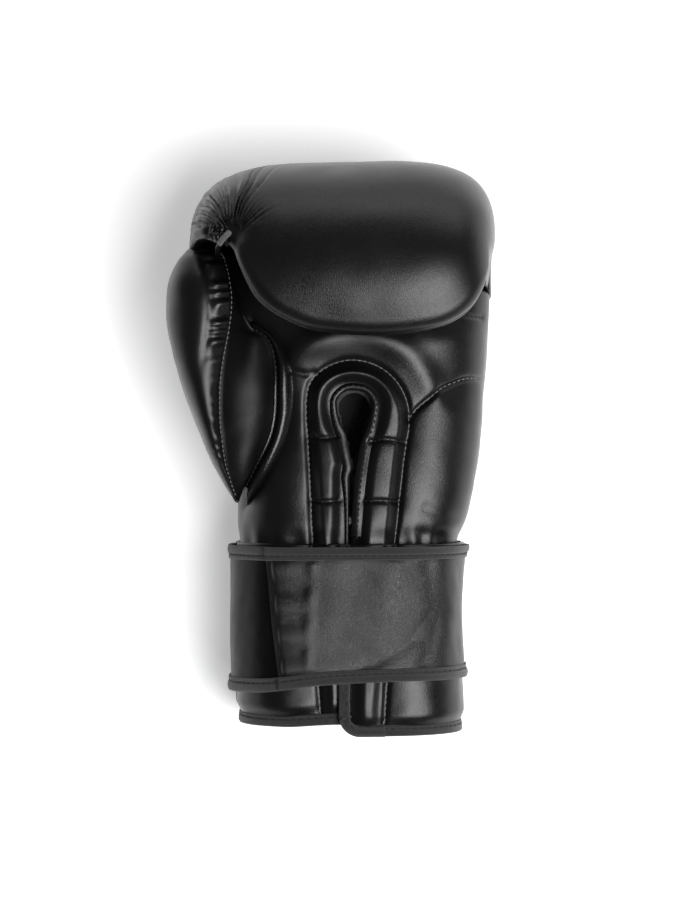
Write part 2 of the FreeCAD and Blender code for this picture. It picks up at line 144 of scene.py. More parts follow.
def ripple(points, size, seed=0):
    """Gentle unevenness of stuffed leather, -1 to 1, the same on every run."""
    rng = np.random.default_rng(seed)
    value = np.zeros(points.shape[:-1])
    for _ in range(9):
        way = rng.normal(size=points.shape[-1])
        way *= (0.7 + 0.6 * rng.random()) * 2 * math.pi / size / np.linalg.norm(way)
        value += np.sin(points @ way + rng.random() * 7)
    return value / 4.5


def inside(points, loop):
    """True for plan points within a closed outline."""
    x, y = points[..., 0], points[..., 1]
    hit = np.zeros(x.shape, bool)
    for (x0, y0), (x1, y1) in zip(loop, np.roll(loop, -1, 0)):
        if y0 != y1:
            hit ^= ((y0 > y) != (y1 > y)) & (x < x0 + (y - y0) * (x1 - x0) / (y1 - y0))
    return hit


def normals(grid):
    du = np.gradient(grid, axis=0)
    dv = np.gradient(grid, axis=1)
    n = np.cross(du, dv)
    return n / np.maximum(np.linalg.norm(n, axis=-1, keepdims=True), 1e-9)


def upward(grid):
    """Straight up at every point of a grid, for pieces whose outside is their upper side."""
    up = np.zeros_like(grid)
    up[..., 2] = 1
    return up


# ------------------------------------------------------------------ meshes
def mesh_object(name, verts, faces, material):
    mesh = bpy.data.meshes.new(name)
    mesh.from_pydata((np.asarray(verts) * MM).tolist(), [], faces)
    mesh.validate()
    mesh.shade_smooth()
    mesh.materials.append(material)
    piece = bpy.data.objects.new(name, mesh)
    bpy.context.collection.objects.link(piece)
    return piece


def shell(name, grid, material, thick=LEATHER, keep=None, outward=None):
    """A wall of the given thickness under a grid of outer points. keep marks the cells that exist."""
    nu, nv = grid.shape[:2]
    n = normals(grid)
    if outward is not None and np.sum(n * outward) < 0:
        n = -n
        grid, n = grid[:, ::-1], n[:, ::-1]
        keep = keep[:, ::-1] if keep is not None else None
    inner = grid - n * thick
    if keep is None:
        keep = np.ones((nu - 1, nv - 1), bool)
    index = np.arange(nu * nv).reshape(nu, nv)
    faces = []
    sides = {}
    for i, j in zip(*np.nonzero(keep)):
        a, b, c, d = index[i, j], index[i + 1, j], index[i + 1, j + 1], index[i, j + 1]
        faces.append((a, b, c, d))
        sides.update(dict.fromkeys(((a, b), (b, c), (c, d), (d, a))))
    shift = nu * nv
    rim = [(q, p, p + shift, q + shift) for p, q in sides if (q, p) not in sides]
    faces += [tuple(v + shift for v in reversed(f)) for f in faces]
    verts = np.concatenate([grid.reshape(-1, 3), inner.reshape(-1, 3)])
    used = np.unique(np.array([v for f in faces for v in f]))
    renumber = np.full(len(verts), -1)
    renumber[used] = np.arange(len(used))
    faces = [tuple(int(renumber[v]) for v in f) for f in faces + rim]
    return mesh_object(name, verts[used], faces, material)


def tube(name, line, radius, material, sides, flat):
    """A closed round or flattened band along a line."""
    line = np.asarray(line, float)
    tangent = np.gradient(line, axis=0)
    tangent /= np.linalg.norm(tangent, axis=1, keepdims=True)
    side = np.cross(tangent, (0, 0, 1))
    side /= np.maximum(np.linalg.norm(side, axis=1, keepdims=True), 1e-9)
    lift = np.cross(side, tangent)
    turns = [2 * math.pi * k / sides for k in range(sides)]
    rings = [line + radius * (side * math.cos(t) + lift * flat * math.sin(t)) for t in turns]
    verts = np.stack(rings, 1).reshape(-1, 3)
    faces = []
    for i in range(len(line) - 1):
        for k in range(sides):
            a, b = i * sides + k, i * sides + (k + 1) % sides
            faces.append((a, b, b + sides, a + sides))
    faces.append(tuple(range(sides))[::-1])
    faces.append(tuple(range(len(verts) - sides, len(verts))))
    return mesh_object(name, verts, faces, material)


# ------------------------------------------------------------------ materials
def group_socket(tree, name, way, kind="NodeSocketFloat", value=None):
    s = tree.interface.new_socket(name=name, in_out=way, socket_type=kind)
    if value is not None:
        s.default_value = value


def noise(tree, place, scale, detail):
    node = tree.nodes.new("ShaderNodeTexNoise")
    node.inputs["Scale"].default_value = scale
    node.inputs["Detail"].default_value = detail
    tree.links.new(place.outputs["Object"], node.inputs["Vector"])
    return node.outputs["Fac"]


def maths(tree, operation, *values):
    """A maths node whose inputs are sockets or plain numbers."""
    node = tree.nodes.new("ShaderNodeMath")
    node.operation = operation
    for value, socket in zip(values, node.inputs):
        if isinstance(value, float):
            socket.default_value = value
        else:
            tree.links.new(value, socket)
    return node.outputs[0]


def grain_group():
    """Leather grain: fine pebbles with creases between them. Puts out height, roughness and tone."""
    tree = bpy.data.node_groups.new("Leather grain", "ShaderNodeTree")
    group_socket(tree, "Pebble size", "INPUT", value=1000.0)
    group_socket(tree, "Roughness", "INPUT", value=0.36)
    for name in ("Height", "Roughness", "Tone"):
        group_socket(tree, name, "OUTPUT")
    given, out = tree.nodes.new("NodeGroupInput"), tree.nodes.new("NodeGroupOutput")
    place = tree.nodes.new("ShaderNodeTexCoord")
    pebbles = tree.nodes.new("ShaderNodeTexVoronoi")
    pebbles.feature = "DISTANCE_TO_EDGE"
    tree.links.new(place.outputs["Object"], pebbles.inputs["Vector"])
    tree.links.new(given.outputs["Pebble size"], pebbles.inputs["Scale"])
    flatten = tree.nodes.new("ShaderNodeMapRange")
    flatten.inputs["From Max"].default_value = 0.16
    tree.links.new(pebbles.outputs["Distance"], flatten.inputs["Value"])
    pores = noise(tree, place, 620.0, 3.0)
    cloud = noise(tree, place, 34.0, 4.0)
    height = maths(tree, "MULTIPLY_ADD", flatten.outputs["Result"], 0.6, pores)
    patchy = maths(tree, "MULTIPLY_ADD", cloud, 0.16, -0.08)
    uneven = maths(tree, "MULTIPLY_ADD", pores, 0.10, patchy)
    rough = maths(tree, "ADD", given.outputs["Roughness"], uneven)
    for name, source in (("Height", height), ("Roughness", rough), ("Tone", cloud)):
        tree.links.new(source, out.inputs[name])
    return tree


def weave_group():
    """Plain weave of threads over and under each other. Puts out height and tone."""
    tree = bpy.data.node_groups.new("Weave", "ShaderNodeTree")
    group_socket(tree, "Threads", "INPUT", value=1400.0)
    for name in ("Height", "Tone"):
        group_socket(tree, name, "OUTPUT")
    given, out = tree.nodes.new("NodeGroupInput"), tree.nodes.new("NodeGroupOutput")
    place = tree.nodes.new("ShaderNodeTexCoord")
    waves = {}
    for axis in "XYZ":
        wave = tree.nodes.new("ShaderNodeTexWave")
        wave.bands_direction = axis
        wave.inputs["Distortion"].default_value = 0.8
        tree.links.new(place.outputs["Object"], wave.inputs["Vector"])
        tree.links.new(given.outputs["Threads"], wave.inputs["Scale"])
        waves[axis] = wave.outputs["Fac"]
    either = maths(tree, "MAXIMUM", waves["X"], waves["Z"])
    crossed = maths(tree, "MULTIPLY", either, waves["Y"])
    fuzz = noise(tree, place, 900.0, 4.0)
    tree.links.new(maths(tree, "ADD", crossed, fuzz), out.inputs["Height"])
    tree.links.new(fuzz, out.inputs["Tone"])
    return tree


GRAIN = grain_group()
WEAVE = weave_group()


def blank(name):
    material = bpy.data.materials.new(name)
    material.use_nodes = True
    tree = material.node_tree
    return material, tree, tree.nodes["Principled BSDF"]


def tone_ramp(tree, source, dark, light, target):
    ramp = tree.nodes.new("ShaderNodeValToRGB")
    ramp.color_ramp.elements[0].position = 0.3
    ramp.color_ramp.elements[1].position = 0.7
    ramp.color_ramp.elements[0].color = (*dark, 1)
    ramp.color_ramp.elements[1].color = (*light, 1)
    tree.links.new(source, ramp.inputs["Fac"])
    tree.links.new(ramp.outputs["Color"], target)


def relief(tree, source, target, strength, distance):
    node = tree.nodes.new("ShaderNodeBump")
    node.inputs["Strength"].default_value = strength
    node.inputs["Distance"].default_value = distance
    tree.links.new(source, node.inputs["Height"])
    tree.links.new(node.outputs["Normal"], target)


def leather(name, dark, light, roughness, pebbles=1000.0, strength=0.25, shine=0.33):
    material, tree, shader = blank(name)
    grain = tree.nodes.new("ShaderNodeGroup")
    grain.node_tree = GRAIN
    grain.inputs["Pebble size"].default_value = pebbles
    grain.inputs["Roughness"].default_value = roughness
    tree.links.new(grain.outputs["Roughness"], shader.inputs["Roughness"])
    tone_ramp(tree, grain.outputs["Tone"], dark, light, shader.inputs["Base Color"])
    relief(tree, grain.outputs["Height"], shader.inputs["Normal"], strength, 0.0002)
    shader.inputs["Specular IOR Level"].default_value = shine
    return material


def cloth(name, dark, light, threads=1400.0, roughness=0.8, strength=0.5, sheen=0.15):
    material, tree, shader = blank(name)
    weave = tree.nodes.new("ShaderNodeGroup")
    weave.node_tree = WEAVE
    weave.inputs["Threads"].default_value = threads
    tone_ramp(tree, weave.outputs["Tone"], dark, light, shader.inputs["Base Color"])
    relief(tree, weave.outputs["Height"], shader.inputs["Normal"], strength, 0.0003)
    shader.inputs["Roughness"].default_value = roughness
    shader.inputs["Sheen Weight"].default_value = sheen
    shader.inputs["Sheen Roughness"].default_value = 0.5
    return material


COVER = leather("Black cover leather", (0.0018, 0.0018, 0.002), (0.003, 0.003, 0.0033), 0.27)
STRAP = leather("Strap leather", (0.001, 0.001, 0.0012), (0.0022, 0.0022, 0.0025), 0.31, 1250.0, 0.5)
TRIM = leather("Gusset leather", (0.0016, 0.0016, 0.0018), (0.003, 0.003, 0.0033), 0.22, 1100.0, 0.25, 0.4)
BINDING = cloth("Binding braid", (0.003, 0.003, 0.0034), (0.0065, 0.0065, 0.007), 1500.0, 0.6)
# Painted shade: a darker, duller copy of the cover leather. It darkens the thumb's inner face and the strap's
# tail in place of their own shading.
SHADED_LEATHER = leather("Leather with painted shade", (0.0014, 0.0014, 0.0016), (0.0024, 0.0024, 0.0027), 0.32, shine=0.12)
LINING = cloth("Lining cloth", (0.016, 0.016, 0.017), (0.03, 0.03, 0.031), 1100.0, 0.85)
FOAM = cloth("Padding foam", (0.03, 0.03, 0.032), (0.06, 0.06, 0.063), 500.0, 0.9)
LOOP = cloth("Loop tape", (0.008, 0.008, 0.009), (0.022, 0.022, 0.023), 700.0, 0.95, 1.0, 0.4)
HOOK = cloth("Hook tape", (0.01, 0.01, 0.01), (0.02, 0.02, 0.02), 650.0, 0.5, 0.9, 0.0)
LIGHT_THREAD = cloth("Light thread", (0.07, 0.07, 0.07), (0.15, 0.15, 0.148), 2600.0, 0.6, 0.4)
DARK_THREAD = cloth("Dark thread", (0.001, 0.001, 0.001), (0.003, 0.003, 0.003), 2600.0, 0.55, 0.4, 0.0)
TAB = cloth("Tab webbing", (0.04, 0.04, 0.04), (0.09, 0.09, 0.09), 1500.0, 0.6)
FLOOR, _, floor_shader = blank("Pale floor")
floor_shader.inputs["Base Color"].default_value = (0.86, 0.86, 0.86, 1)
floor_shader.inputs["Roughness"].default_value = 0.9
floor_shader.inputs["Emission Color"].default_value = (1, 1, 1, 1)
floor_shader.inputs["Emission Strength"].default_value = 0.36


# ------------------------------------------------------------------ thread
def stitch_tree():
    """Geometry nodes: one stitch every so far along a line, lying along it."""
    tree = bpy.data.node_groups.new("Stitches", "GeometryNodeTree")
    group_socket(tree, "Geometry", "INPUT", "NodeSocketGeometry")
    for name, value in (("Pitch", 0.0038), ("Length", 0.0028), ("Width", 0.0008), ("Height", 0.0006)):
        group_socket(tree, name, "INPUT", value=value)
    group_socket(tree, "Thread", "INPUT", "NodeSocketMaterial")
    group_socket(tree, "Geometry", "OUTPUT", "NodeSocketGeometry")
    add = tree.nodes.new
    link = tree.links.new
    given, out = add("NodeGroupInput"), add("NodeGroupOutput")
    to_curve = add("GeometryNodeMeshToCurve")
    spaced = add("GeometryNodeResampleCurve")
    spaced.mode = "LENGTH"
    link(given.outputs["Geometry"], to_curve.inputs["Mesh"])
    link(to_curve.outputs["Curve"], spaced.inputs["Curve"])
    link(given.outputs["Pitch"], spaced.inputs["Length"])
    ball = add("GeometryNodeMeshUVSphere")
    ball.inputs["Segments"].default_value = 8
    ball.inputs["Rings"].default_value = 6
    ball.inputs["Radius"].default_value = 0.5
    smooth = add("GeometryNodeSetShadeSmooth")
    link(ball.outputs["Mesh"], smooth.inputs["Geometry"])
    place = add("GeometryNodeInstanceOnPoints")
    link(spaced.outputs["Curve"], place.inputs["Points"])
    link(smooth.outputs["Geometry"], place.inputs["Instance"])
    tangent = add("GeometryNodeInputTangent")
    turn = add("FunctionNodeAlignRotationToVector")
    turn.axis = "X"
    link(tangent.outputs["Tangent"], turn.inputs["Vector"])
    link(turn.outputs["Rotation"], place.inputs["Rotation"])
    size = add("ShaderNodeCombineXYZ")
    for axis, name in zip("XYZ", ("Length", "Width", "Height")):
        link(given.outputs[name], size.inputs[axis])
    link(size.outputs["Vector"], place.inputs["Scale"])
    real = add("GeometryNodeRealizeInstances")
    paint = add("GeometryNodeSetMaterial")
    link(place.outputs["Instances"], real.inputs["Geometry"])
    link(real.outputs["Geometry"], paint.inputs["Geometry"])
    link(given.outputs["Thread"], paint.inputs["Material"])
    link(paint.outputs["Geometry"], out.inputs["Geometry"])
    return tree


STITCHES = stitch_tree()
SEAM_STITCH = (3.0, 2.2, 0.7, 0.6)     # pitch, length, width and height
BRAID_STITCH = (3.8, 2.7, 0.9, 0.7)


def sew(name, lines, thread, pitch=3.8, length=2.7, width=0.85, height=0.7):
    """Thread along lines, as one plain mesh."""
    verts, edges = [], []
    for line in lines:
        start = len(verts)
        verts += (np.asarray(line) * MM).tolist()
        edges += [(start + k, start + k + 1) for k in range(len(line) - 1)]
    mesh = bpy.data.meshes.new(name + "_path")
    mesh.from_pydata(verts, edges, [])
    path = bpy.data.objects.new(name + "_path", mesh)
    bpy.context.collection.objects.link(path)
    modifier = path.modifiers.new("Stitches", "NODES")
    modifier.node_group = STITCHES
    values = {"Pitch": pitch * MM, "Length": length * MM, "Width": width * MM, "Height": height * MM,
              "Thread": thread}
    for socket in STITCHES.interface.items_tree:
        if socket.in_out == "INPUT" and socket.name in values:
            modifier[socket.identifier] = values[socket.name]
    shown = path.evaluated_get(bpy.context.evaluated_depsgraph_get())
    made = bpy.data.meshes.new_from_object(shown)
    bpy.data.objects.remove(path)
    piece = bpy.data.objects.new(name, made)
    bpy.context.collection.objects.link(piece)
    return piece


# ------------------------------------------------------------------ the tube: cuff and palm
RING_Y = (CUFF_MOUTH_Y, CUFF_TOP_Y, -27.0, 0.0, 28.0, 57.0, KNUCKLE_Y, KNUCKLE_Y + 18)
RING_LEFT = (CUFF_LEFT + 0.2, CUFF_LEFT + 0.2, CUFF_LEFT + 0.7, -54.0, -59.0, -61.5, -66.0, -62.0)
RING_RIGHT = (CUFF_RIGHT, CUFF_RIGHT + 0.3, 74.5, 79.4, 81.2, PALM_RIGHT, 84.4, 82.5)
RING_LOW = (CUFF_LO[2], CUFF_LO[2], 2.6, 1.2, 0.5, 0.4, FIST_LO[2] + 1, 14.0)
RING_HIGH = (CUFF_HI[2], 84.5, 84.5, 84.5, 85.0, 85.0, 83.0, 78.0)


def ring_point(angle, y, grow=0.0):
    """Point of the tube's skin at an angle (0 at the little-finger side, 90 on the palm)."""
    left, right = table(y, RING_Y, RING_LEFT), table(y, RING_Y, RING_RIGHT)
    low, high = table(y, RING_Y, RING_LOW), table(y, RING_Y, np.maximum(RING_HIGH, FLAP_TOP_Z - 2))
    c, s = np.cos(np.radians(angle)), np.sin(np.radians(angle))
    power = 2 / ROUNDNESS
    x = (left + right) / 2 + ((right - left) / 2 + grow) * np.sign(c) * np.abs(c) ** power
    z = (low + high) / 2 + ((high - low) / 2 + grow) * np.sign(s) * np.abs(s) ** power
    return np.stack(np.broadcast_arrays(x, y, z), -1)


def angle_at(x, y):
    """The angle on the palm side whose ring point has this x."""
    left, right = table(y, RING_Y, RING_LEFT), table(y, RING_Y, RING_RIGHT)
    c = np.clip((x - (left + right) / 2) / ((right - left) / 2), -1, 1)
    return np.degrees(np.arccos(np.sign(c) * np.abs(c) ** (ROUNDNESS / 2)))


def on_palm(line, lift=0.0):
    """A plan line laid on the palm side of the tube."""
    line = np.asarray(line, float)
    p = ring_point(angle_at(line[:, 0], line[:, 1]), line[:, 1])
    p[:, 2] += lift
    return p


# seams of the palm, in plan
CHANNEL = curve([(-4.4, CUFF_MOUTH_Y), (-8.0, -95), (-9.7, CUFF_TOP_Y), (-11.2, -12), (-12.8, 26),
                 (-6.5, 39.7), (8.6, 46.5), (24.8, 43.4), (36.8, 32.4), (41.5, 16.2), (38.1, -8.4),
                 (34.2, CUFF_TOP_Y),
                 (31, -95), (27.5, CUFF_MOUTH_Y)], 300)
HEEL_SEAM = curve([(41.5, 16.2), (45.5, 21.4), (51.5, 26.7), (57.2, 31.4), (65.1, 34.8), (72.4, 37.1),
                   (81, 37.6)], 60)
SIDE_SEAM = curve([(56, 68), (66, 70.5), (80, 69.5)], 30)
SLIT_LEFT = curve([(9.7, CUFF_TOP_Y - 2), (9.9, -13.6), (11.2, -8.4), (8.6, 6.3), (4.6, 16.2), (3.2, 25),
                   (6.4, 29.8), (12.4, 31)], 90)
SLIT_RIGHT = curve([(10.4, CUFF_TOP_Y - 2), (11.6, -28), (13.0, -12), (15.4, 1.6), (18, 8.9), (20.8, 17),
                    (21.6, 25), (18.2, 29.6), (12.4, 31)], 90)
QUILT = [curve([(-9.4, 7), (-3, 6.2), (3, 7)], 20), curve([(-9.2, -26), (-3, -26.8), (4.2, -26)], 20),
         curve([(20.6, 4.4), (29, 5.4), (38.6, 4)], 20), curve([(18.4, -26.6), (26, -26.2), (35.8, -27)], 20)]
GUSSET_OUTER = curve([(-41.5, 67.4), (-31.1, 61.1), (-24.3, 51.2), (-20.6, 38.7), (-20.6, 22.5), (-24.3, 6.3),
                      (-33.2, -12), (-43.6, -26), (-48.9, -33.4)], 120)
GUSSET_INNER = curve([(-41.5, 62.5), (-33.2, 57), (-29.5, 42.9), (-29.3, 26.7), (-32.1, 8.4), (-40.0, -8.7),
                      (-47.4, -22.2)], 120)


def palm_relief(p):
    """How far the palm's leather stands in or out from the plain ring, by plan place."""
    x, y = p[..., 0], p[..., 1]
    flat = p[..., :2]
    upper = step(45, 70, p[..., 2])
    out = np.zeros(x.shape)
    out -= seam(flat, CHANNEL, 3.2, 5.5, 1.3)
    out -= seam(flat, HEEL_SEAM, 3.0, 6.0, 1.3)
    out -= seam(flat, SIDE_SEAM, 1.8, 5.0, 1.2)
    for line in QUILT:
        out -= seam(flat, line, 2.0, 3.2, 1.1)
    slit = np.minimum(gap_to(flat, SLIT_LEFT), gap_to(flat, SLIT_RIGHT))
    out -= 2.4 * np.exp(-(slit / 6.5) ** 2)
    away = gap_to(flat, CHANNEL)
    within = inside(flat, CHANNEL)
    out += 3.0 * step(2, 7, away) * step(4, 10, slit) * within
    out += 2.2 * bump(away, 14, 7) * step(18, 34, y) * ~within * step(70, 55, x)
    out -= 3.0 * np.exp(-gap_to(flat, GUSSET_OUTER) / 6.0)
    out += 1.6 * bump(y, 56, 8) * step(-26, -8, x) * step(84, 60, x)
    out += 1.6 * bump(x, 60, 17) * step(34, 18, y) * step(-60, -10, y)
    out += 1.0 * bump(x, -30, 14) * step(10, -14, y)
    for fold in (((50, -30), (59, -34.5), (71, -35.5)), ((46, -43), (58, -45), (68, -44))):
        fold = curve(fold, 20)
        out -= 0.6 * np.exp(-(gap_to(flat, fold) / 3.4) ** 2)
    crease = curve([(-20, 41), (-13, 39.2), (-9, 40)], 12)
    out -= 1.0 * np.exp(-(gap_to(flat, crease) / 1.8) ** 2)
    return out * upper + 0.35 * ripple(p, 42, 3) + 0.14 * ripple(p, 15, 4)


def side_relief(p):
    """Seams along the sides of the tube, where the palm half is sewn to the back half."""
    out = 1.1 * (0.5 * np.exp(-np.abs(p[..., 2] - SPLIT_Z) / 5) + 0.5 * bump(p[..., 2], SPLIT_Z, 1.2))
    return -out * step(78, 40, p[..., 2]) * step(2, 20, p[..., 2])


def gather(p):
    """The strap draws the tube in just above the cuff."""
    d = p[..., 1] - CUFF_TOP_Y
    folds = 0.5 + 0.5 * np.sin(p[..., 0] * 0.55 + 1.2 * np.sin(p[..., 0] * 0.13))
    return -(1.6 + 0.9 * folds) * np.exp(-(d / 7.0) ** 2)


def palm_grid():
    ys = np.linspace(CUFF_TOP_Y - 1.5, KNUCKLE_Y + 17, 210)
    angles = np.concatenate([np.linspace(-2, 22, 24, endpoint=False),
                             np.linspace(22, 158, 215, endpoint=False), np.linspace(158, 182, 22)])
    a, y = np.meshgrid(angles, ys, indexing="ij")
    base = ring_point(a, y)
    n = normals(base)
    if n[130, 100, 2] < 0:
        n = -n
    return base, n


def palm_height(p):
    return palm_relief(p) + side_relief(p) + gather(p)


def inside_slit(p):
    """True for plan places within the slit and its keyhole."""
    y = p[..., 1]
    order_l, order_r = np.argsort(SLIT_LEFT[:, 1]), np.argsort(SLIT_RIGHT[:, 1])
    left = np.interp(y, SLIT_LEFT[order_l, 1], SLIT_LEFT[order_l, 0])
    right = np.interp(y, SLIT_RIGHT[order_r, 1], SLIT_RIGHT[order_r, 0])
    return (p[..., 0] > left) & (p[..., 0] < right) & (y < SLIT_LEFT[-1, 1])


def sit_on_palm(line, lift=0.3):
    """A plan line laid on the finished palm leather."""
    p = on_palm(line)
    a = angle_at(p[:, 0], p[:, 1])
    e = 0.5
    across = ring_point(a + e, p[:, 1]) - ring_point(a - e, p[:, 1])
    along = ring_point(a, p[:, 1] + e) - ring_point(a, p[:, 1] - e)
    n = np.cross(across, along)
    n /= np.linalg.norm(n, axis=1, keepdims=True)
    n[n[:, 2] < 0] *= -1
    return p + n * (palm_height(p) + lift)[:, None]


def build_palm():
    base, n = palm_grid()
    grid = base + n * palm_height(base)[..., None]
    cell = (base[1:, 1:] + base[:-1, :-1]) / 2
    keep = ~(inside_slit(cell) & (cell[..., 2] > 60))
    palm = shell("palm_cover", grid, COVER, keep=keep, outward=n)
    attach(palm, "root")
    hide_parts("palm_top_cover", "pinky_heel_cover", "thumb_heel_cover", "slit_channel_cover",
                "palm_top_foam", "pinky_heel_foam", "thumb_heel_foam", "slit_channel_foam")


def build_back():
    angles = np.concatenate([np.linspace(178, 202, 24, endpoint=False),
                             np.linspace(202, 338, 90, endpoint=False), np.linspace(338, 362, 24)])
    a, y = np.meshgrid(angles, np.linspace(CUFF_TOP_Y - 1.5, KNUCKLE_Y + 17, 110), indexing="ij")
    base = ring_point(a, y)
    n = normals(base)
    if n[70, 50, 2] > 0:
        n = -n
    puff = 1.2 * step(2, 20, base[..., 2]) * step(44, 30, base[..., 2]) * step(-48, 0, base[..., 1])
    puff = puff + 0.5 * ripple(base, 45, 6)
    height = side_relief(base) + gather(base) * step(0, 12, base[..., 2]) + puff * step(0.5, 6, base[..., 2])
    height = np.maximum(height, -base[..., 2] + 0.1)
    back = shell("back_cover", base + n * height[..., None], COVER, outward=n)
    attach(back, "root")
    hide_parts("back_side_cover", "back_foam")


def build_palm_threads():
    lines = [sit_on_palm(CHANNEL[CHANNEL[:, 1] > CUFF_TOP_Y + 1], 0.1), sit_on_palm(HEEL_SEAM[2:-4], 0.1)]
    thread = sew("palm_thread", lines, LIGHT_THREAD, *SEAM_STITCH)
    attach(thread, "root")
    dark = [sit_on_palm(line, 0.0) for line in QUILT] + [sit_on_palm(SIDE_SEAM, 0.1)]
    tacks = sew("palm_tacks", dark, DARK_THREAD, 3.0, 2.2, 0.8, 0.6)
    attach(tacks, "root")


def band_beside(line, width, drop):
    """A rounded band whose inner edge follows a plan line and dips into the opening."""
    line = np.asarray(line, float)
    tangent = np.gradient(line, axis=0)
    tangent /= np.linalg.norm(tangent, axis=1, keepdims=True)
    side = np.stack([-tangent[:, 1], tangent[:, 0]], 1)
    rows = []
    for share in np.linspace(0, 1, 15):
        plan = line + side * (width * share)[:, None]
        p = sit_on_palm(plan, 0.0)
        p[:, 2] += 2.3 * math.sin(math.pi * min(share * 0.82 + 0.18, 1)) ** 0.7 - 0.4
        rows.append(p)
    turned_in = [rows[0] - (0, 0, drop * k / 4) for k in range(4, 0, -1)]
    return np.stack(turned_in + rows, 1)


def build_slit():
    loop = curve(np.concatenate([SLIT_LEFT[:-1:6], SLIT_RIGHT[::-6]]), 260)
    rising = np.arange(len(loop)) < np.argmax(loop[:, 1])
    levels = (CUFF_TOP_Y - 3, -27, -8, 6, 17, 26, 34)
    width = np.where(rising, table(loop[:, 1], levels, (2.4, 3.0, 5.2, 5.8, 4.4, 3.6, 3.8)),
                     table(loop[:, 1], levels, (5.4, 6.0, 6.2, 5.8, 4.6, 4.0, 3.8)))
    grid = band_beside(loop, width, 9.0)
    grid[..., 2] += (0.6 * step(0, -14, grid[..., 1])) * ~rising[:, None]
    edge = shell("slit_edge", grid, COVER, 1.0, outward=upward(grid))
    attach(edge, "root")
    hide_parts("slit_binding")
    line = grid[:, 12] + (0, 0, 0.25)
    thread = sew("slit_edge_thread", [line], DARK_THREAD, 2.9, 2.0, 0.8, 0.7)
    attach(thread, "root")


# ------------------------------------------------------------------ fist
PAD_EDGE = curve([(-74.0, 104), (-72, 110), (-66, 113.0), (-57, 113.5), (-51, 112), (-45.5, 106),
                  (-41.0, 96), (-34.5, 86.5), (-26, 77), (-13, 69.5), (-2, 66.5), (20, 64.8), (38, 66),
                  (56, 69.8), (68, 77.0), (76.2, 86), (80.6, 94), (83.3, 99.0),
                  (84.4, 97), (84.9, 91), (85.0, 85)], 340)
FIST_MIDDLE_X = (FIST_LO[0] + FIST_HI[0]) / 2
FIST_HALF = (FIST_HI[0] - FIST_LO[0]) / 2
KNOB = np.array([-50.0, 109.5, CURL_Z + 57])
BACK_ANGLE = -97           # where the curl starts on the back, in degrees
SKIN_ROWS, RIM_ROWS, UNDER_ROWS = 150, 30, 16
PLEAT_SPACING = 8.0        # degrees round the knob
NOTCH_FLOOR_Z = 40.0       # the crease beside the thumb's tip runs this low
SIDE_WALL_X = 83.0         # beyond this the fist's side has no rolled edge


def fist_radius(x):
    share = np.clip(np.abs(x - FIST_MIDDLE_X) / FIST_HALF, 0, 1 - 1e-12)
    power = np.where(x < FIST_MIDDLE_X, 4.2, 5.0)
    crown = 1 - 0.032 * ((x - 26) / 60) ** 2
    return FIST_RADIUS * (1 - share ** power) ** (1 / power) * crown


def fist_skin(x, radius):
    """The plain curled skin, one column for each point of the pad's edge, and its normals."""
    reach = np.clip(PAD_EDGE[:, 1] - KNUCKLE_Y, -0.55 * radius, 0.985 * radius)
    end = np.degrees(np.arccos(reach / radius))
    columns = []
    for xk, r, e in zip(x, radius, end):
        a = np.radians(np.linspace(BACK_ANGLE, e, SKIN_ROWS))
        y = KNUCKLE_Y + r * np.cos(a)
        z = CURL_Z + r * np.sin(a)
        columns.append(np.stack([np.full_like(y, xk), y, z], 1))
    outer = np.stack(columns)
    n = normals(outer)
    if n[160, 70, 1] < 0:
        n = -n
    n[-3:] = (1, 0, 0)
    return outer, n


def pleats(outer):
    """Folds that fan out from the gathered corner beside the thumb's tip."""
    to_knob = outer - KNOB
    facing = np.array([-0.35, 0.40, 0.85])
    facing /= np.linalg.norm(facing)
    right = np.cross((0, 1, 0), facing)
    right /= np.linalg.norm(right)
    ahead = np.cross(facing, right)
    u, v = to_knob @ right, to_knob @ ahead
    far = np.linalg.norm(to_knob, axis=-1)
    turn = np.degrees(np.arctan2(v, u))
    wander = turn + 1.6 * np.sin(far * 0.16 + turn * 0.03) + 1.2 * np.sin(turn * 0.21)
    phase = np.mod(wander, PLEAT_SPACING) / PLEAT_SPACING
    pleat = (1 - np.abs(2 * phase - 1)) ** 1.1
    fold = np.floor(wander / PLEAT_SPACING)
    length = 30 + 9 * np.sin(fold * 2.4) + 8 * bump(turn, 115, 30)
    length = np.where(turn < 78, 13 + 2 * np.sin(fold * 1.7), length)
    fan = step(22, 40, turn) + step(-150, -170, turn)
    fade = step(3, 13, far) * np.exp(-(far / length) ** 2)
    depth = (3.4 + 0.8 * np.sin(fold * 1.3)) * fade * np.clip(fan, 0, 1)
    return depth * (pleat - 0.7) - 3.2 * np.exp(-(far / 7.0) ** 2)


def fist_height(outer):
    height = 1.2 * step(0, 26, gap_to(outer, outer[:, -1])) - 0.6
    height += pleats(outer)
    height += 0.35 * ripple(outer, 60, 11) + 0.1 * ripple(outer, 20, 12)
    index_side = step(-46, -66, outer[..., 0]) * step(150, 120, outer[..., 1])
    return height + 0.5 * ripple(outer * (1, 0.4, 1), 13, 13) * index_side


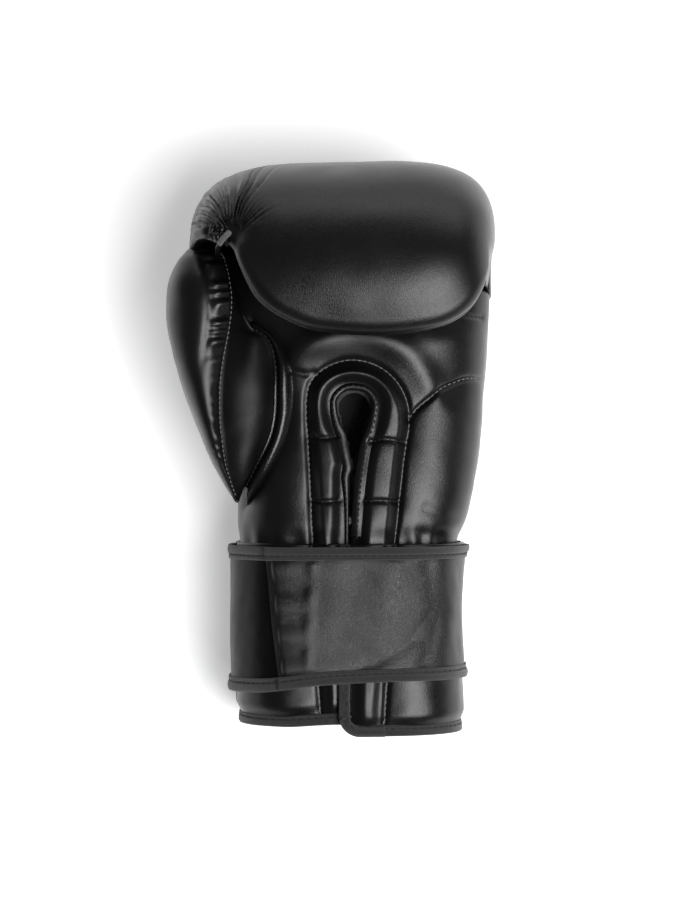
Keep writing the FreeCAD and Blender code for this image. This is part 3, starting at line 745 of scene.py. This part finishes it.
def rolled_edge(x, radius, outer, n):
    """The pad's rolled edge, row by row."""
    last, before = outer[:, -1], outer[:, -4]
    path = np.gradient(last, axis=0)
    path /= np.maximum(np.linalg.norm(path, axis=1, keepdims=True), 1e-6)
    inward = -n[:, -5]
    inward -= path * np.sum(inward * path, axis=1, keepdims=True)
    inward /= np.maximum(np.linalg.norm(inward, axis=1, keepdims=True), 1e-6)
    way = np.cross(path, inward)
    way *= np.sign(np.sum(way * (last - before), axis=1, keepdims=True))
    roll = np.minimum(9.5, 0.16 * radius) * (1 - 0.4 * step(-30, -44, x)) * (1 - 0.9 * step(81, 84.4, x))
    centre = last + inward * roll[:, None]
    rim = []
    for t in np.linspace(0, math.pi, RIM_ROWS + 1)[1:]:
        groove = 1 - 0.05 * bump(t, 1.0, 0.09)
        rim.append(centre + (way * math.sin(t) - inward * math.cos(t)) * (roll * groove)[:, None])
    return rim


def underside(x, radius, start):
    """From the rolled edge back underneath, to the crease at the knuckles."""
    palm = ring_point(angle_at(np.clip(x, -64, 80), KNUCKLE_Y), np.full(len(x), KNUCKLE_Y))
    notch = step(-34, -42, x)
    side = step(64, 80, x)
    end_y = KNUCKLE_Y + 2.0 + 20 * notch
    end_z = (palm[:, 2] + 2.5) * (1 - notch) + NOTCH_FLOOR_Z * notch
    finish = np.stack([np.minimum(x, 74) - 6 * side, end_y + 4 * side, end_z - 12 * side], 1)
    belly = (start + finish) / 2
    belly[:, 1] += 6 * (1 - notch) * (1 - side)
    belly[:, 2] += 3 * (1 - notch)
    rows = []
    for t in np.linspace(0, 1, UNDER_ROWS + 1)[1:]:
        p = start * (1 - t) ** 2 + belly * 2 * t * (1 - t) + finish * t * t
        rel = p[:, 1:] - CURL
        dist = np.maximum(np.linalg.norm(rel, axis=1), 1e-6)
        most = np.maximum(radius - 3.0 - 3 * notch, 0.3)
        p[:, 1:] = CURL + rel * np.minimum(1, most / dist)[:, None]
        rows.append(p)
    return rows


def build_fist():
    x = PAD_EDGE[:, 0]
    radius = np.minimum(fist_radius(x), FIST_RADIUS)
    outer, n = fist_skin(x, radius)
    outer = outer + n * fist_height(outer)[..., None]
    rim = rolled_edge(x, radius, outer, n)
    rows = underside(x, radius, rim[-1])
    grid = np.concatenate([outer, np.stack(rim + rows, 1)], axis=1)
    # the side tucks in under the end of the rolled edge
    gx, gy, gz = np.moveaxis(grid, -1, 0)
    grid[..., 0] = gx - 3.8 * step(80, 83.5, gx) * step(108, 90, gy) * step(55, 88, gz)
    away = np.zeros_like(grid)
    away[:, :SKIN_ROWS] = n
    keep = np.ones((grid.shape[0] - 1, grid.shape[1] - 1), bool)
    keep[x[:-1] > SIDE_WALL_X, SKIN_ROWS - 1:] = False
    fist = shell("fist_cover_leather", grid, COVER, keep=keep, outward=away)
    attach(fist, "fist")
    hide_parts("fist_cover", "fist_soft_foam", "fist_dense_foam")
    build_ties(outer)


def build_ties(outer):
    """The tie from the thumb's tip to the gathered corner: one piece on the thumb, one on the fist."""
    plan = curve([(-55.6, 103.8), (-54.2, 105.6), (-52.4, 107.4), (-50.4, 109.4)], 20)
    skin = outer[:, -70:].reshape(-1, 3)
    level = np.array([skin[np.argmin(np.linalg.norm(skin[:, :2] - q, axis=1)), 2] for q in plan])
    level = np.convolve(np.pad(level, 4, mode="edge"), np.ones(9) / 9, mode="valid")
    arch = 2.6 * np.sin(np.linspace(0, math.pi, 20)) ** 0.6
    top = np.column_stack([plan, level + arch])
    low = curve([(-57.2, 95.5, 88), (-57.6, 98.5, 97), (-57.0, 101.4, level[0] - 9), tuple(top[0])], 30)
    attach(tube("fist_tie", top, 1.5, TAB, 14, 0.7), "fist")
    tie = tube("thumb_tie", low - (0, 0, 1.2), 1.4, COVER, 14, 0.7)
    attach(tie, "thumb")
    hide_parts("thumb_lock_tab")


# ------------------------------------------------------------------ thumb
THUMB_Y = (-27.6, -24, -14, 0, 19, 39, 59, 75, 88, 98, 104.0, 106.6, 107.2)
THUMB_LEFT = (-48.9, -52.2, -58, -65, -72, -79.2, -83.8, -85.0, -83.8, -79.2, -74, -69.5, -65.5)
THUMB_SEAM = (-48.2, -49.2, -51.6, -54.2, -55.9, -55.0, -51.4, -50.0, -51.0, -53.6, -57.5, -61, -64.5)
THUMB_Z = (66, 67, 69, 72, 75, 77, 78.5, 79, 79, 78.5, 78, 78, 78)
THUMB_HALF = (0.6, 4.5, 10.5, 16, 21, 24, 25.4, 25.4, 22.5, 16.5, 10, 5, 0.6)


def thumb_rows(count):
    """Smooth stations from the thumb's foot to its tip: y, left side, seam, middle height, half height."""
    rows = np.stack([THUMB_Y, THUMB_LEFT, THUMB_SEAM, THUMB_Z, THUMB_HALF], 1)
    return curve(rows, count)


def build_thumb():
    y, left, seam_x, mid_z, half = thumb_rows(130).T
    width = np.maximum(seam_x - left, 0.3) / 1.72
    centre = left + width
    seam_line = build_thumb_cover(y, centre, width, mid_z, half)
    build_thumb_inner(seam_line, build_gusset(), half)
    build_thumb_pocket(y, centre, width, mid_z, half)


def build_thumb_cover(rows_y, centre, width, mid_z, half):
    """Outer leather, crinkled beside its seam. Gives back the seam's line."""
    angles = np.radians(np.linspace(43, 318, 110))
    grid = np.stack([
        centre[:, None] + width[:, None] * np.cos(angles),
        np.repeat(rows_y[:, None], len(angles), 1),
        mid_z[:, None] + half[:, None] * np.sign(np.sin(angles)) * np.abs(np.sin(angles)) ** 0.92,
    ], -1)
    n = normals(grid)
    if n[70, 50, 0] > 0:
        n = -n
    d = gap_to(grid, grid[:, 0])
    height = -2.0 * (0.5 * np.exp(-d / 4) + 0.5 * np.exp(-(d / 1.2) ** 2))
    along = grid[..., 1]
    crinkle = np.sin(along * 0.95 + 1.9 * np.sin(along * 0.31) + d * 0.16)
    height += 1.1 * crinkle * step(0.5, 4, d) * step(15, 8, d) * step(40, 56, along) * step(106, 98, along)
    height += 0.45 * crinkle * step(0.5, 3, d) * step(9, 4, d) * step(58, 40, along) * step(-20, 5, along)
    height -= 0.9 * np.exp(-((d - 13) / 2.2) ** 2) * step(36, 56, along) * step(104, 94, along)
    height += 0.4 * ripple(grid, 40, 21) + 0.12 * ripple(grid, 14, 22)
    height *= np.clip(half / 8, 0, 1)[:, None]
    grid = grid + n * height[..., None]
    cover = shell("thumb_cover_leather", grid, COVER, outward=n)
    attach(cover, "thumb")
    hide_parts("thumb_outer_cover", "thumb_foam")
    return grid[:, 0]


def build_gusset():
    """Strip round the thumb's foot, sewn to the palm. Gives back its grid."""
    count = 140
    a, b = curve(GUSSET_OUTER[::6], count), curve(GUSSET_INNER[::6], count)
    strip = []
    for t in np.linspace(0, 1, 20):
        p = sit_on_palm(a * (1 - t) + b * t, 0.0)
        p[:, 2] += 2.6 * math.sin(math.pi * min(t * 1.25, 1)) ** 0.75 + 0.4 * t - 0.5 * bump(t, 0.84, 0.05)
        strip.append(p)
    strip = np.stack(strip, 1)
    gusset = shell("thumb_gusset_strip", strip, TRIM, 1.0, outward=upward(strip))
    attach(gusset, "root")
    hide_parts("thumb_gusset")
    thread = sew("thumb_gusset_thread", [strip[4:-4, 16] + (0, 0, 0.2)], DARK_THREAD, 2.9, 2.0, 0.75, 0.6)
    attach(thread, "root")
    return strip


def build_thumb_inner(seam_line, strip, half):
    """Inner leather, from the seam down to the gusset."""
    over_the_palm = [(-45.5, 71, 79), (-49, 85, 74), (-55, 98, 72), (-62.5, 105, 74)]
    foot = curve(np.concatenate([strip[::-8, -1] - (0, 0, 0.7), over_the_palm]), len(half))
    rows = []
    for t in np.linspace(0, 1, 40):
        p = seam_line * (1 - t) + foot * t
        p[:, 2] -= 5.0 * math.sin(math.pi * t) * np.clip(half / 20, 0, 1)
        p[:, 2] -= 1.2 * math.exp(-(t / 0.05) ** 2)
        rows.append(p)
    panel = np.stack(rows, 1)
    up = upward(panel)
    m = normals(panel)
    m[m[..., 2] < 0] *= -1
    swell = np.sin(np.linspace(0, math.pi, 40)) ** 0.5
    panel = panel + m * (0.45 * ripple(panel, 20, 23) * swell)[..., None]
    # The inner face uses the darker, duller copy of the cover leather: painted shade.
    inner = shell("thumb_inner_panel", panel, SHADED_LEATHER, outward=up)
    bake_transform(inner)
    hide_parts("thumb_inner_cover")
    thread = sew("thumb_thread", [seam_line[6:-8] + (0.6, 0, 0.9)], LIGHT_THREAD, 2.6, 1.9, 0.6, 0.55)
    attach(thread, "thumb")


def build_thumb_pocket(rows_y, centre, width, mid_z, half):
    y, a = np.linspace(12, 90, 60), np.radians(np.linspace(0, 360, 49))
    middle, deep, across, tall = [np.interp(y, rows_y, v)[:, None] for v in (centre, mid_z, width, half)]
    narrow = 0.6 * step(92, 78, y)[:, None] + 0.02
    pocket = np.stack([middle + narrow * across * np.cos(a), np.repeat(y[:, None], 49, 1),
                       deep - 2 + 0.85 * narrow * tall * np.sin(a)], -1)
    from_middle = (pocket - np.array([-66, 40, 77])) * (1, 0, 1)
    lining = shell("thumb_pocket", pocket, LINING, TAPE, outward=from_middle)
    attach(lining, "thumb")
    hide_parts("thumb_lining")


# ------------------------------------------------------------------ cuff
SLIT_X = 9.6
CUFF_HEART = np.array([(CUFF_LEFT + CUFF_RIGHT) / 2, 0, SPLIT_Z])
UPPER_FLAP, LOWER_FLAP = 1.6, -0.4     # how far each flap stands out where they overlap
FLAP_EDGE_X = SLIT_X - 5.2
FLAP_CORNER = 11.0


def cuff_relief(p):
    flat = p[..., :2]
    upper = step(50, 74, p[..., 2])
    out = -seam(flat, CHANNEL, 3.0, 5.5, 1.3)
    slit = np.abs(p[..., 0] - SLIT_X)
    out -= 2.2 * np.exp(-(slit / 5) ** 2)
    out += 1.5 * step(3, 8, gap_to(flat, CHANNEL)) * step(3, 9, slit) * (np.abs(p[..., 0] - 11) < 17)
    out += 2.0 * bump(p[..., 0], 48, 15) + 2.0 * bump(p[..., 0], -28, 13)
    return out * upper + 0.4 * ripple(p, 30, 31) + 0.12 * ripple(p, 12, 32)


def cuff_part(name, angles, body, nodes, mouth_y, lining_nodes, grow=0.0):
    """Cover, lining and mouth binding of one third of the cuff."""
    mouth_y = np.broadcast_to(mouth_y, len(angles))[:, None]
    share = np.linspace(0, 1, 90)[None, :]
    yy = (CUFF_TOP_Y - 0.6) * (1 - share) + (mouth_y + 1) * share
    a = np.repeat(np.asarray(angles)[:, None], 90, 1)
    base = ring_point(a, yy)
    n = normals(base)
    middle = ring_point(a, yy, -20)
    if np.sum(n * (base - middle)) < 0:
        n = -n
    thin = -2.6 * step(mouth_y + 12, mouth_y + 4, yy)
    height = cuff_relief(base) * step(mouth_y + 2, mouth_y + 10, yy) + thin + grow
    height = np.maximum(height, -base[..., 2] + 0.6)
    outer = base + n * height[..., None]
    cover = shell(name + "_leather", outer, COVER, outward=n)
    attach(cover, body)
    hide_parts(*nodes)
    cuff_lining(name, angles, body, mouth_y[:, 0], lining_nodes)
    mouth_braid(name, angles, body, mouth_y[:, 0], grow)


def cuff_lining(name, angles, body, mouth_y, nodes):
    """From the mouth's edge over a soft lip into the hollow."""
    depth = np.concatenate([np.linspace(0, 14, 16), np.linspace(16, CUFF_TOP_Y - CUFF_MOUTH_Y - 9, 30)])
    rows = []
    for d in depth:
        wall = 5.0 + (12.5 - 5.0) * step(0, 15, d) + 4.5 * step(20, 90, d)
        yk = mouth_y + 1 + d
        rows.append(ring_point(angles, yk, -wall))
    inner = np.stack(rows, 1)
    lining = shell(name + "_inside", inner, LINING, TAPE, outward=(CUFF_HEART - inner) * (1, 0, 1))
    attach(lining, body)
    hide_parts(*nodes)


def mouth_braid(name, angles, body, mouth_y, grow):
    """A folded band over the edges of the leather and the lining, with its thread."""
    fold = []
    band = 6.3
    for t in np.linspace(0, 1, 44):
        if t < 0.5:
            yk = mouth_y + band * (1 - 2 * t)
        else:
            yk = mouth_y + band * (2 * t - 1)
        puff = 1.1 * math.sin(math.pi * t) ** 0.25 - 0.7 * bump(t, 0.16, 0.035)
        yk = yk if 0.08 < abs(t - 0.5) else mouth_y + 0.6 * abs(t - 0.5) / 0.08
        blend_in = step(0.42, 0.58, t)
        g = (grow - 2.2 + puff) * (1 - blend_in) + (-6.4 + 0.6) * blend_in
        fold.append(ring_point(angles, yk, g))
    fold = np.stack(fold, 1)
    fold[..., 2] = np.maximum(fold[..., 2], 0.3)
    out = np.zeros_like(fold)
    out[:, :22] = (fold[:, :22] - CUFF_HEART) * (1, 0, 1)
    out[:, 22:] = (CUFF_HEART - fold[:, 22:]) * (1, 0, 1)
    binding = shell(name + "_mouth_braid", fold, BINDING, TAPE, outward=out)
    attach(binding, body)
    line = ring_point(angles, mouth_y + band * 0.68, grow - 1.6)
    thread = sew(name + "_mouth_thread", [line], DARK_THREAD, *BRAID_STITCH)
    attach(thread, body)


def build_cuff():
    right_top = angle_at(FLAP_EDGE_X + 0.6, np.array(CUFF_MOUTH_Y))
    left_top = angle_at(SLIT_X - 1.5, np.array(CUFF_MOUTH_Y))
    back = np.linspace(179.6, 360.4, 150)
    cuff_part("cuff_back", back, "root", ["cuff_back_cover", "cuff_back_foam", "cuff_back_binding"],
              CUFF_MOUTH_Y + 1.0 + 4.6 * step(230, 180, back), ["cuff_back_lining"])
    left = np.linspace(float(left_top), 179.6, 110)
    cuff_part("cuff_thumb_flap", left, "cuff_thumb_flap",
              ["cuff_thumb_cover", "cuff_thumb_foam", "cuff_thumb_binding"],
              CUFF_MOUTH_Y + 5.6 + 1.6 * step(left_top + 30, left_top, left), ["cuff_thumb_lining"],
              LOWER_FLAP)
    right = np.concatenate([np.linspace(0.4, float(right_top) - 14, 90, endpoint=False),
                            np.linspace(float(right_top) - 14, float(right_top), 50)])
    x = ring_point(right, np.full(len(right), CUFF_MOUTH_Y))[:, 0]
    in_corner = np.clip(FLAP_CORNER - (x - FLAP_EDGE_X), 0, FLAP_CORNER - 0.4)
    rise = FLAP_CORNER - np.sqrt(FLAP_CORNER ** 2 - in_corner ** 2)
    cuff_part("cuff_pinky_flap", right, "cuff_pinky_flap",
              ["cuff_pinky_cover", "cuff_pinky_foam", "cuff_pinky_binding"], CUFF_MOUTH_Y + 1.2 + rise,
              ["cuff_pinky_lining"], UPPER_FLAP)
    build_flap_edge()
    build_flap_threads()


def build_flap_edge():
    """Bound edge of the upper flap, down the slit and round the corner into the mouth's braid."""
    low = CUFF_MOUTH_Y + 1.4
    corner = [(FLAP_EDGE_X + FLAP_CORNER * (1 - math.cos(t)), low + FLAP_CORNER * (1 - math.sin(t)))
              for t in np.linspace(0, math.pi / 2, 9)]
    down = [(FLAP_EDGE_X, y) for y in (CUFF_TOP_Y - 1, -80, -110)]
    path = curve(down + corner + [(FLAP_EDGE_X + 24, low)], 150)
    along = np.gradient(path, axis=0)
    along /= np.linalg.norm(along, axis=1, keepdims=True)
    across = np.stack([-along[:, 1], along[:, 0]], 1)
    rows = []
    for t in np.linspace(0, 1, 16):
        p = on_palm(path + across * (5.6 * t))
        p[:, 2] += 0.1 + 2.1 * math.sin(math.pi * (0.10 + 0.90 * t)) ** 0.6
        rows.append(p)
    grid = np.stack(rows, 1)
    edge = shell("cuff_slit_braid", grid, BINDING, 1.4, outward=upward(grid))
    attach(edge, "cuff_pinky_flap")
    thread = sew("cuff_slit_thread", [grid[:-24, 11] + (0, 0, 0.2)], DARK_THREAD, *BRAID_STITCH)
    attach(thread, "cuff_pinky_flap")


def build_flap_threads():
    on_flap = (CHANNEL[:, 1] < CUFF_TOP_Y - 2) & (CHANNEL[:, 1] > CUFF_MOUTH_Y + 9)
    for body, own_side, lift in (("cuff_thumb_flap", CHANNEL[:, 0] < SLIT_X, LOWER_FLAP),
                                 ("cuff_pinky_flap", CHANNEL[:, 0] > SLIT_X, UPPER_FLAP)):
        p = on_palm(CHANNEL[own_side & on_flap])
        p[:, 2] += cuff_relief(p) + lift + 0.2
        thread = sew(body + "_thread", [p], LIGHT_THREAD, *SEAM_STITCH)
        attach(thread, body)


# ------------------------------------------------------------------ strap
STRAP_CREASE = ((-29.2, STRAP_TOP_Y), (-22.8, STRAP_FOOT_Y + 4))
STRAP_LIFT = 3.0
BRAID = 6.8


def strap_low_y(x):
    return table(x, (CUFF_LEFT - 4, -30, -4, 22, CUFF_RIGHT + 4), (-127.0, -125.4, -121.4, -119.9, -119.6))


def crease_x(y):
    (x0, y0), (x1, y1) = STRAP_CREASE
    return x0 + (y - y0) * (x1 - x0) / (y1 - y0)


def strap_surface(first, last, count, rows):
    """Grid round the cuff at the strap's height, between two angles that may follow the fold."""
    rows = np.asarray(rows)[None, :]
    middle = strap_low_y(crease_x(-87.0))
    y0 = STRAP_TOP_Y + (middle - STRAP_TOP_Y) * rows
    ends = [angle_at(crease_x(y0), np.full(y0.shape, -87.0)) + shift if fold else np.full(y0.shape, shift)
            for fold, shift in (first, last)]
    u = np.linspace(0, 1, count)[:, None]
    a = ends[0] * (1 - u) + ends[1] * u
    x = ring_point(a, np.full(a.shape, -87.0))[..., 0]
    y = STRAP_TOP_Y + (strap_low_y(x) - STRAP_TOP_Y) * rows
    base = ring_point(a, y, STRAP_LIFT)
    n = base - ring_point(a, y, STRAP_LIFT - 5)
    n /= np.linalg.norm(n, axis=-1, keepdims=True)
    return base, n


def strap_level(p, folded):
    """The upper layer lies flat over the fold; the tail comes out from under it and falls away."""
    top = step(62, 80, p[..., 2])
    x = p[..., 0]
    return (1.9 + 3.6 * step(22, -34, x)) * top if folded else 3.6 * step(-52, -26, x) * top


def strap_relief(p, folded):
    x, y = p[..., 0], p[..., 1]
    flat = p[..., :2]
    top = step(62, 80, p[..., 2])
    out = np.zeros(x.shape)
    if folded:
        past = x - crease_x(y)
        waves = np.cos((y + 61) * 2 * math.pi / 18.0 + 0.5 * np.sin(y * 0.07))
        out += (0.9 * waves + 1.2) * np.exp(-(past / 15.0) ** 2) * step(0, 3, past)
        ridge = curve([(-8, -60), (-9.5, -85), (-10, -112)], 20)
        out += (0.6 + 0.3 * np.sin(y * 0.4)) * np.exp(-(gap_to(flat, ridge) / 2.8) ** 2)
        for line, size, deep in ((curve([(58, -84), (40, -100), (16, -114)], 20), 4.0, 0.9),
                                 (curve([(50, -58), (53, -90), (46, -116)], 20), 4.0, 0.6),
                                 (curve([(62, -74), (44, -90), (28, -97)], 20), 5.0, 0.35)):
            out -= deep * np.exp(-(gap_to(flat, line) / size) ** 2)
        out = np.maximum(out + 0.5 * ripple(p, 26, 43), -1.1)
    return out * top + 0.25 * ripple(p, 34, 41) + 0.07 * ripple(p, 11, 42)


def braid_hump(t):
    """Section of a folded and sewn edge tape, from the edge (0) to its inner side (1)."""
    return (0.85 + 0.8 * np.sin(math.pi * np.clip(t / 0.62, 0.03, 1)) ** 0.5 * (t < 0.62)
            - 0.45 * bump(t, 0.66, 0.06) + 0.15 * step(0.7, 0.8, t) - 0.3 * step(0.93, 1, t))


def strap_part(name, ends, count, folded, bodies, where, raised=0.0):
    """Leather, both edge braids and their thread for one stretch of the strap."""
    def settle(piece):
        if where is None:
            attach(piece, bodies[0])
        else:
            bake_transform(piece)

    rows = np.linspace(0.04, 0.96, 110)
    base, n = strap_surface(*ends, count, rows)
    edge = step(0.06, 0.13, rows) * step(0.94, 0.87, rows)
    height = strap_level(base, folded) + strap_relief(base, folded) * edge + raised
    # The strap's tail (placed stretch, not folded) takes the darker, duller shaded leather instead of strap
    # leather: painted shade.
    finish = STRAP if folded or where is None else SHADED_LEATHER
    face = shell(name + "_face", base + n * height[..., None], finish, TAPE, outward=n)
    settle(face)
    pieces = [face]
    share = BRAID / (STRAP_TOP_Y - strap_low_y(0.0))
    for label in ("top", "low"):
        t = np.linspace(0, 1, 22)
        rows = t * share if label == "top" else 1 - t * share
        base, n = strap_surface(*ends, count, rows)
        height = strap_level(base, folded) + braid_hump(t) + raised
        grid = base + n * height[..., None]
        braid = shell("%s_%s_braid" % (name, label), grid, BINDING, 1.7, outward=n)
        settle(braid)
        pieces.append(braid)
        line = grid[:, 14] + n[:, 14] * 0.2
        thread = sew("%s_%s_thread" % (name, label), [line], DARK_THREAD, 3.8, 2.9, 1.1, 0.8)
        settle(thread)
    return pieces


def build_loop_tape():
    """Rough tape round the back of the cuff, which the strap's tail lands on."""
    angles = np.linspace(190, 338, 170)
    a, share = np.meshgrid(angles, np.linspace(0, 1, 90), indexing="ij")
    low = CUFF_MOUTH_Y + 10 + 17 * step(235, 212, a)
    yy = (STRAP_TOP_Y - 4) * (1 - share) + low * share
    rng = np.random.default_rng(5)
    tape = ring_point(a, yy, 0.9)
    n = tape - ring_point(a, yy, -4)
    n /= np.linalg.norm(n, axis=-1, keepdims=True)
    tape = tape + n * (0.35 * rng.random(a.shape))[..., None]
    tape[..., 2] = np.maximum(tape[..., 2], 0.4)
    tape = shell("cuff_loop_tape", tape, LOOP, 1.0, outward=n)
    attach(tape, "root")
    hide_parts("loop_tape")


def build_strap():
    corner_a = ((52 * MM, -87 * MM, 88 * MM), (73 * MM, -87 * MM, 66 * MM))
    corner_b = ((-33 * MM, -87 * MM, 88 * MM), (-54 * MM, -87 * MM, 66 * MM))
    build_loop_tape()
    made = strap_part("strap_sewn_end", ((False, -24.0), (False, 0.8)), 40, False, ("root",), None, -1.0)
    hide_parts("strap_anchor")
    made = strap_part("strap_right", ((False, -1.5), (True, 0.0)), 210, True,
                      ("strap_palm", "strap_side"), corner_a)
    for piece, nodes in zip(made, (("strap_side_leather", "strap_palm_leather"),
                                   ("strap_side_top_binding", "strap_palm_top_binding"),
                                   ("strap_side_low_binding", "strap_palm_low_binding"))):
        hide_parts(*nodes)
    made = strap_part("strap_left", ((True, -2.0), (False, 205.0)), 150, False,
                      ("strap_palm", "strap_tail"), corner_b)
    for piece, node in zip(made, ("strap_tail_leather", "strap_tail_top_binding", "strap_tail_low_binding")):
        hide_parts(node)


# ------------------------------------------------------------------ the frame's own pieces
def dress_frame():
    """Materials for the CAD pieces that stay as they are."""
    finishes = {"back_lining": LINING, "palm_lining": LINING, "finger_lining": LINING,
                "grip_bar_cover": COVER, "grip_bar_foam": FOAM, "hook_tape": HOOK,
                "back_centre_cover": COVER}
    for node, material in finishes.items():
        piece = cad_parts[node]
        piece.data.materials.clear()
        piece.data.materials.append(material)


# ------------------------------------------------------------------ room
def build_room():
    half = 6000.0
    corners = [(-half, -half, 0), (half, -half, 0), (half, half, 0), (-half, half, 0)]
    floor = mesh_object("floor", corners, [(0, 1, 2, 3)], FLOOR)
    floor.location.z = -FLOOR_DROP
    world = bpy.data.worlds.new("Studio")
    bpy.context.scene.world = world
    world.use_nodes = True
    world.node_tree.nodes["Background"].inputs["Color"].default_value = (0.97, 0.985, 1, 1)
    world.node_tree.nodes["Background"].inputs["Strength"].default_value = 0.13

    def lamp(name, place, aim, width, power):
        light = bpy.data.lights.new(name, "AREA")
        light.shape = "RECTANGLE"
        light.size, light.size_y = width
        light.energy = power
        thing = bpy.data.objects.new(name, light)
        thing.location = place
        thing.rotation_euler = (Vector(aim) - Vector(place)).to_track_quat("-Z", "Y").to_euler()
        bpy.context.collection.objects.link(thing)

    lamp("softbox", (0.60, -0.36, 1.36), (0.0, 0.0, 0.05), (1.0, 1.0), 37)
    lamp("back_light", (0.3, 1.7, 0.5), (0.0, 0.0, 0.08), (2.0, 0.5), 9)
    camera = bpy.data.cameras.new("camera")
    camera.lens = 100
    thing = bpy.data.objects.new("camera", camera)
    height = 0.470 * camera.lens / camera.sensor_width
    thing.location = (0.0102, 0.0, 0.072 + height)
    thing.rotation_euler = (0, 0, 0)
    bpy.context.collection.objects.link(thing)
    bpy.context.scene.camera = thing
    bpy.context.scene.view_settings.view_transform = "Standard"


build_room()
build_palm()
build_back()
build_palm_threads()
build_slit()
build_fist()
build_thumb()
build_cuff()
build_strap()
dress_frame()
